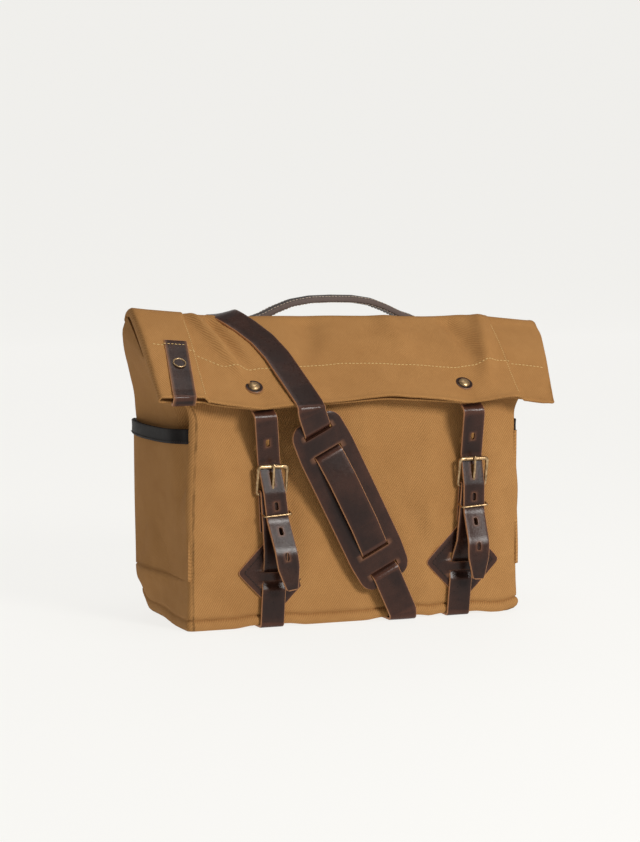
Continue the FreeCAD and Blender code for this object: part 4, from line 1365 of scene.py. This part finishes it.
@dataclass
class Closure:
    """Patch, buckle strap, buckle, keeper and billet of one side."""

    side: str
    middle: float
    patch_drift: float
    billet_drift: tuple[float, ...]
    strap_drift: tuple[float, ...]
    billet_heights: tuple[float, ...] = (40, 56, 115, 148, 175, 216)
    strap_heights: tuple[float, ...] = (1, 40, 60, 100, 137)
    patch_place: tuple[float, float] = (-76.4, 56.0)
    patch_reach: float = 39.5
    window_height: float = 51.2
    bar: tuple[float, float] = (-80.3, 134.0)
    lean: float = math.radians(11.5)
    frame_half: float = 15.2
    frame_tall: float = 28.4
    wire: float = 1.6

    def billet_x(self, z: float) -> float:
        """Middle of the upper strap at a height."""
        return self.middle + float(np.interp(z, self.billet_heights, self.billet_drift))

    def strap_x(self, z: float) -> float:
        """Middle of the buckle strap at a height."""
        return self.middle + float(np.interp(z, self.strap_heights, self.strap_drift))

    def build(self) -> None:
        """Make every piece of the closure."""
        self.patch()
        self.buckle_strap()
        self.buckle()
        self.keeper()
        self.billet()

    def patch(self) -> None:
        """Diamond with two slots; the bridge between them bows out over the strap."""
        x0 = self.middle + self.patch_drift
        y0, z0 = self.patch_place
        tip = self.patch_reach

        def diamond(run: np.ndarray, total: float) -> np.ndarray:
            """Half width of the diamond as a share of 40 mm."""
            return (42.4 - np.sqrt((run - total / 2) ** 2 + 6.0)) / 40.0

        piece = Strap(f"{self.side}_diamond", [(x0, y0, z0 - tip), (x0, y0, z0 + tip)], 80.0, 2.4,
                      holes=[Hole(tip + up, 0, 9.0, 28.0, True) for up in (-14.0, 4.5)],
                      shape=diamond, step=1.3, worn=1.0).build()
        places = points_of(piece)
        over = 1 - smooth(np.abs(places[:, 0] - x0), 11.5, 16.5)
        band = 1 - smooth(np.abs(places[:, 2] - self.window_height), 4.9, 8.5)
        places[:, 1] -= 4.3 * over * band
        move_points(piece, places)
        settle(piece, "bag", f"{self.side}_patch")
        inset, count = 34.0, 40
        corners = [(x0, z0 + inset), (x0 + inset, z0), (x0, z0 - inset), (x0 - inset, z0)]
        rails = []
        for (xa, za), (xb, zb) in zip(corners, corners[1:] + corners[:1]):
            t = np.linspace(0.04, 0.96, count)[:, None]
            line = np.hstack((xa + (xb - xa) * t, np.full_like(t, y0 - 1.35), za + (zb - za) * t))
            clear = np.abs(line[:, 0] - x0) > 13.5
            rails.append(np.hstack((line, np.tile((0, -1.0, 0), (count, 1))))[clear])
        Stitching(f"{self.side}_diamond_seam", rails, BROWN_THREAD, Slot.STRAP, 3.0, 4.0, 0.5).on("bag")

    def buckle_strap(self) -> None:
        """Strap from the back, under the base, through the patch and round the hinge bar."""
        behind = [(self.middle, 78.5, 190), (self.middle, 78.5, 1.4)]
        line = [(-79.2, 1.4), (-79.2, 38), (-76.9, 45), (-76.9, 57), (-79.2, 64), (-83.6, 78),
                (-83.6, 137.4), (-77, 137.4), (-77, 96)]
        strap = Strap(f"{self.side}_lower_strap", behind + [(self.strap_x(z), y, z) for y, z in line],
                      25.0, 2.8, radii=[3.5, 3.5, 6, 6, 6, 6, 14, 3.3, 3.3], step=1.5)
        strap.on("bag", f"{self.side}_buckle_strap")
        box = [strap.rail(4, 16, aside, 1.45 * sign) for aside in (-8.5, 8.5) for sign in (1, -1)]
        Stitching(f"{self.side}_lower_strap_seam", box, BROWN_THREAD, Slot.STRAP, 2.6, 3.8,
                  0.4).on("bag")

    def frame_place(self, x: float, up: float, out: float) -> np.ndarray:
        """Place in the plane of the buckle, up from the hinge bar."""
        y, z = self.bar
        return np.array((self.billet_x(148) + x,
                         y - math.sin(self.lean) * up - math.cos(self.lean) * out,
                         z + math.cos(self.lean) * up - math.sin(self.lean) * out))

    def buckle(self) -> None:
        """Wire frame with a heavier top bar, and the prong."""
        w, h = self.frame_half, self.frame_tall
        corners = [self.frame_place(x, up, 0) for x, up in ((-w, 0), (w, 0), (w, h), (-w, h))]
        normal = np.cross(corners[1] - corners[0], corners[2] - corners[0])
        top = corners[2][2]

        def swell(rows: np.ndarray) -> np.ndarray:
            """Heavier wire at the top of the frame."""
            return 1.0 + 0.28 * smooth(rows[:, 2], top - 7.0, top - 1.0)

        Wire(f"{self.side}_frame", corners, self.wire, unit(normal), bends=3.4,
             swell=swell).on(f"{self.side}_buckle", f"{self.side}_buckle_frame")
        arm = [self.frame_place(0, up, out) for up, out in
               ((-0.5, -2.6), (-2.9, 0.3), (0.5, 3.1), (8, 4.4), (18, 4.4), (h - 3, 3.6), (h + 3.4, 3.1))]
        Wire(f"{self.side}_pin", arm, 1.35, (1, 0, 0), closed=False,
             bends=3.0).on(f"{self.side}_prong", f"{self.side}_prong")

    def keeper(self) -> None:
        """Thin wire loop round both straps."""
        x0 = self.billet_x(115)
        w = 14.2
        corners = [(x0 - w, -79.0, 115.6), (x0 + w, -79.0, 117.0), (x0 + w, -90.4, 114.6),
                   (x0 - w, -90.4, 112.6)]
        rows = np.array(corners)
        plane = unit(np.cross(rows[1] - rows[0], rows[2] - rows[0]))
        Wire(f"{self.side}_loop", corners, 0.95, plane,
             bends=2.4).on(f"{self.side}_keeper", f"{self.side}_keeper")

    def billet(self) -> None:
        """Hanging strap with oblong holes and a tapered tip, and its root under the flap."""
        x0, width = self.billet_x(216), 23.6
        start = on_flap(x0, 124.8, 3.1)
        bend = on_flap(self.billet_x(210), 134.0, 3.1)
        hang = [(-82.1, 165.5), (-86.9, 135.0), (-86.9, 109.0), (-100.5, 78.0), (-102.6, 40.0)]
        line = [start, bend] + [(self.billet_x(z), y, z) for y, z in hang]

        def tip(run: np.ndarray, total: float) -> np.ndarray:
            """Share of the width towards the tip."""
            return np.interp(total - run, (0.0, 1.2, 3.5, 22.0, 30.0), (0.36, 0.52, 0.60, 0.97, 1.0))

        billet = Strap(f"{self.side}_upper_strap", line, width, 2.8, radii=[8, 12, 16, 22, 30], shape=tip,
                       step=1.3, worn=1.0, cup=0.35)
        billet.stations()
        for z, tall in ((73, 8.6), (98, 8.6), (123, 8.6), (149, 15.0), (186, 8.6)):
            k = int(np.argmin(np.abs(billet.centre[:, 2] - z)))
            billet.holes.append(Hole(float(billet.run[k]), 0.0, tall, 4.3))
        billet.on(f"{self.side}_billet", f"{self.side}_billet")
        root = [on_flap(x0, 90.5, 3.0), on_flap(x0, 124.3, 3.0)]
        Strap(f"{self.side}_upper_root", root, width, 2.8,
              step=2.0).on("flap", f"{self.side}_billet_root")


# ---------------------------------------------------------------- shoulder strap


@dataclass
class Sling:
    """Shoulder strap from the back ring over the flap, through the pad and under the base."""

    roll: RollTop
    width: float = 29.5
    pad_centre: tuple[float, float, float] = (-15.0, -92.0, 125.0)
    tilt: float = math.radians(28.0)
    lean: float = math.radians(4.8)
    ridge_x: float = -118.0
    ridge_level: float = 16.6

    def __post_init__(self) -> None:
        """Work out the directions of the pad."""
        turn = Matrix.Rotation(self.lean, 3, "X") @ Matrix.Rotation(-self.tilt, 3, "Y")
        self.axes = np.array(turn)

    def pad_place(self, aside: float, out: float, up: float) -> np.ndarray:
        """Place in the frame of the pad."""
        return np.array(self.pad_centre) + self.axes @ np.array((aside, -out, up))

    def build(self) -> None:
        """Make the strap, the pad and the runs on the back."""
        self.pad()
        self.strap()
        self.back()

    def pad(self) -> None:
        """Long leather pad with four slots."""
        end, half = 96.0, 30.0
        line = [self.pad_place(0, bow, up) for up, bow in
                ((-end, 0.0), (-60, 0.2), (-20, 0.6), (20, 0.6), (60, 0.2), (end, 0.0))]

        def shape(run: np.ndarray, total: float) -> np.ndarray:
            """Share of the width: rounded and slightly drawn in at both ends."""
            left = np.minimum(run, total - run)
            corner = 15.0
            inside = np.clip(1 - left / corner, 0.0, 1.0)
            cut = corner * (1 - np.sqrt(np.clip(1 - inside ** 2, 0.0, 1.0)))
            drawn = 2.2 * (1 - smooth(left, 5.0, 40.0))
            return np.maximum(half - cut - drawn, 9.0) / half

        slots = [Hole(end + up, 0.0, 5.6, 31.2, True) for up in (-81.5, -57.5, 57.5, 81.5)]
        Strap("sling_pad", line, 2 * half, 3.5, self.axes[:, 0], slots, shape, step=1.5, cup=0.8,
              worn=1.2, radii=20.0).on("sling_lower", "shoulder_pad")

    def strap(self) -> None:
        """One run from the floor through the pad and over the flap to the ridge."""
        near, far, over = 54.0, 86.0, 3.6
        slanted = self.axes[:, 0]
        weave = ((far - 1.5, over), (far - 7.0, -over), (near + 6.0, -over), (near + 0.5, over),
                 (26, over + 4.5))
        rows = [np.array(place) for place in ((45.5, -79.0, 1.4), (45.5, -84.4, 2.2), (45.0, -85.8, 8.5))]
        sides = [X_AXIS, X_AXIS, slanted * 0.4 + X_AXIS * 0.6]
        for up, out in [(-u, o) for u, o in weave] + list(reversed(weave)):
            rows.append(self.pad_place(0, out, up))
            sides.append(slanted)
        spots = [(-64.5, 136.5), (-64.8, 128.0), (-68.5, 108.0), (-73.0, 87.0), (-79.0, 60.0),
                 (-87.5, 36.0), (-99.0, 15.0), (-108.5, 2.0), (-114.5, -8.0)]
        flap = [on_flap(x, s, self.roll.level(x, min(s, 124.0)) + 1.9) for x, s in spots]
        rows.append((self.pad_place(0, over, 97) + flap[0] * 2) / 3 + np.array((0, -1.2, -2.0)))
        sides.append(slanted)
        rows += flap
        sides += [unit(np.cross(tangent, OFF_3D)) for tangent in unit(np.gradient(np.array(flap), axis=0))]
        rows += [on_flap(-117, -16.0, self.ridge_level), on_flap(self.ridge_x, -24.0, self.ridge_level)]
        sides += [X_AXIS, X_AXIS]
        radii = [4.0] + [2.6 if k < 15 else 20.0 for k in range(1, len(rows) - 2)]
        piece = Strap("sling_strap", rows, self.width, 2.8, sides, radii=radii, worn=0.8, cup=0.25).build()
        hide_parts("sling_front", "sling_over_flap")
        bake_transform(piece)
        log.info("%s bends at the lower edge of the flap", piece.name)

    def back(self) -> None:
        """Hidden runs with their rings and tabs."""
        top = np.array((18.2, 298.6))
        along = unit(np.array((75.0, 212.0)) - top)
        off = np.array((-along[1], along[0]))
        x, low_x = self.ridge_x, 46.0

        def lean_place(aside: float, reach: float, level: float) -> tuple[float, float, float]:
            """Place on the leaning part of the back."""
            y, z = top + along * reach + off * level
            return (x + aside, float(y), float(z))

        runs: tuple[tuple[str, str, Any, list[Any]], ...] = (
            ("sling_top_run", "sling_back_top", [8.0, 3.2, 3.2],
             [on_flap(x, -20.0, self.ridge_level), lean_place(0, 8, 1.9), lean_place(0, 41.5, 1.9),
              lean_place(0, 41.5, 8.4), lean_place(0, 24, 8.4)]),
            ("sling_low_run", "sling_under", [3.4, 3.2, 3.2],
             [(low_x, y, z) for y, z in ((-82.0, 1.4), (78.4, 1.4), (78.4, 47.4), (85, 47.4), (85, 29))]),
            ("ring_tab_high", "upper_ring_tab", 3.2,
             [lean_place(0, *spot) for spot in ((76, 1.9), (49, 1.9), (49, 8.4), (74, 8.4))]),
            ("ring_tab_low", "lower_ring_tab", 3.2,
             [(low_x, y, z) for y, z in ((78.4, 81), (78.4, 54.4), (85, 54.4), (85, 79))]))
        for name, node, radii, line in runs:
            Strap(name, line, self.width, 2.8, radii=radii).on("bag", node)
        for name in ("upper_ring", "lower_ring"):
            keep_node(name, Brass())
        rails = []
        count = 6
        for aside in (-11.0, 11.0):
            rows = [([lean_place(aside, r, 9.95) for r in np.linspace(62, 72, count)], off),
                    ([lean_place(aside, r, 9.95) for r in np.linspace(14, 22, count)], off),
                    ([(low_x + aside, 86.5, z) for z in np.linspace(62, 77, count)], (1.0, 0))]
            for spots, (y, z) in rows:
                rails.append(np.hstack((np.array(spots), np.tile((0, y, z), (count, 1)))))
        Stitching("ring_tab_seams", rails, BROWN_THREAD, Slot.STRAP, 2.6, 3.8, 0.4).on("bag")


# ---------------------------------------------------------------- handle


@dataclass
class Handle:
    """Carrying handle: a stitched strap with a bead along its middle."""

    middle: float = 12.0
    y: float = 32.5
    width: float = 20.0
    thickness: float = 6.0

    def build(self) -> None:
        """Make the strap, its bead and its stitching."""
        half = ((103.0, 289.5), (101.0, 296.0), (91.0, 300.5), (77.0, 305.0), (62.0, 312.0), (45.0, 318.3),
                (24.0, 321.6), (0.0, 322.2))
        line = [(self.middle - x, self.y, z) for x, z in half]
        line += [(self.middle + x, self.y, z) for x, z in reversed(half[:-1])]

        def waist(run: np.ndarray, total: float) -> np.ndarray:
            """Share of the width: narrower at both ends."""
            return 0.62 + 0.38 * smooth(np.minimum(run, total - run), 4.0, 22.0)

        strap = Strap("handle_leather", line, self.width, self.thickness, (0, 1.0, 0), shape=waist,
                      radii=[5.0] + [30.0] * 11 + [5.0], step=1.6, finish=HANDLE_LEATHER,
                      slot=Slot.HANDLE)
        piece = strap.build()
        places = points_of(piece)
        aside = np.abs(places[:, 1] - self.y)
        raised = 1.6 * bell(aside, 0.0, 3.4) - 0.5 * bell(aside, 5.6, 1.2)
        middle_z = np.interp(places[:, 0], strap.centre[:, 0], strap.centre[:, 2])
        away = np.where(places[:, 2] > middle_z, 1.0, -0.4)
        inner = smooth(half[0][0] - np.abs(places[:, 0] - self.middle), 3.0, 12.0)
        places[:, 2] += raised * away * inner
        move_points(piece, places)
        settle(piece, "handle", "handle_strap")
        rails = [strap.rail(14, strap.total - 14, aside, above * (self.thickness / 2 + 0.05))
                 for aside in (-8.3, 8.3) for above in (1, -1)]
        Stitching("handle_seams", rails, PALE_THREAD, Slot.HANDLE, 3.0, 3.7, 0.5, 0.45).on("handle")
        for side in SIDES:
            for part in ("foot", "lug"):
                keep_node(f"{side}_handle_{part}", Brass())


# ---------------------------------------------------------------- studio


@dataclass
class Studio:
    """Pale floor that sweeps up, soft light and the camera."""

    focal: float = 2375.0
    yaw: float = math.radians(21.4)
    pitch: float = math.radians(4.9)
    eye: tuple[float, float, float] = (-0.903, -2.274, 0.407)
    image_height: float = 842.0

    def build(self) -> None:
        """Make the surroundings."""
        self.paper()
        self.lamps()
        self.camera()

    def paper(self) -> None:
        """Floor that curves up far behind the bag."""
        profile = [(-9000.0, 0.0), (-2000.0, 0.0), (2000.0, 0.0), (5000.0, 0.0)]
        radius = 3000.0
        profile += [(5000 + radius * math.sin(a), radius * (1 - math.cos(a)))
                    for a in np.linspace(0.1, math.pi / 2, 14)]
        profile.append((8000.0, 9000.0))
        points = np.array([(x, y, z) for y, z in profile for x in (-9000.0, 0.0, 9000.0)])
        faces = [(r * 3 + c, r * 3 + c + 1, r * 3 + c + 4, r * 3 + c + 3)
                 for r in range(len(profile) - 1) for c in range(2)]
        paper = make_piece("paper_sweep", points, faces, Backdrop(), Slot.CANVAS, 80.0)
        carry_rest(paper)
        del paper["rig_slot"]

    def lamp(self, name: str, place: Point, aim: Point, size: float, power: float, tint: Colour) -> None:
        """Add one soft lamp."""
        light = bpy.data.lights.new(name, "AREA")
        light.shape, light.size, light.energy, light.color = "DISK", size, power, tint
        lamp = bpy.data.objects.new(name, light)
        lamp.location = place
        lamp.rotation_euler = (Vector(aim) - Vector(place)).to_track_quat("-Z", "Y").to_euler()
        bpy.context.scene.collection.objects.link(lamp)

    def lamps(self) -> None:
        """Softbox above, a large front light on the right and a weak even surround."""
        self.lamp("softbox", (0.2, -0.5, 2.6), (0, 0, 0.1), 1.2, 12.0, (1.0, 0.99, 0.97))
        self.lamp("front_right", (0.85, -2.35, 1.2), (0, 0, 0.15), 0.8, 63.0, (1.0, 0.985, 0.955))
        world = bpy.data.worlds.new("surround")
        bpy.context.scene.world = world
        world.use_nodes = True
        background = world.node_tree.nodes["Background"]
        background.inputs["Color"].default_value = (1.0, 0.985, 0.955, 1.0)
        background.inputs["Strength"].default_value = 0.30

    def camera(self) -> None:
        """Camera at the front left, slightly above the bag."""
        data = bpy.data.cameras.new("camera")
        data.sensor_fit, data.sensor_height, data.sensor_width = "VERTICAL", 36.0, 36.0
        data.lens = self.focal * 36.0 / self.image_height
        camera = bpy.data.objects.new("camera", data)
        camera.location = self.eye
        camera.rotation_euler = (math.pi / 2 - self.pitch, 0.0, -self.yaw)
        bpy.context.scene.collection.objects.link(camera)
        bpy.context.scene.camera = camera
        bpy.context.scene.view_settings.view_transform = "Standard"


# ---------------------------------------------------------------- putting it together


def main() -> None:
    """Build the whole bag and its surroundings."""
    logging.basicConfig(level=logging.INFO, format="%(name)s: %(message)s")
    Studio().build()
    roll = RollTop()
    Body().build()
    for side in SIDES:
        SidePocket(side).build()
    roll.build()
    NameTab(roll).build()
    for side in SIDES:
        Stud(side, roll).build()
    Closure("left", -96.0, 7.5, (15, 12, 4.5, 0.5, -4, -14), (2, 4, 6, 2, 0.5)).build()
    Closure("right", 118.0, -3.0, (3, 4, 5, 5, 3, -3), (-9, -6, -3, 3, 5)).build()
    Sling(roll).build()
    Handle().build()


if __name__ == "__main__":
    main()
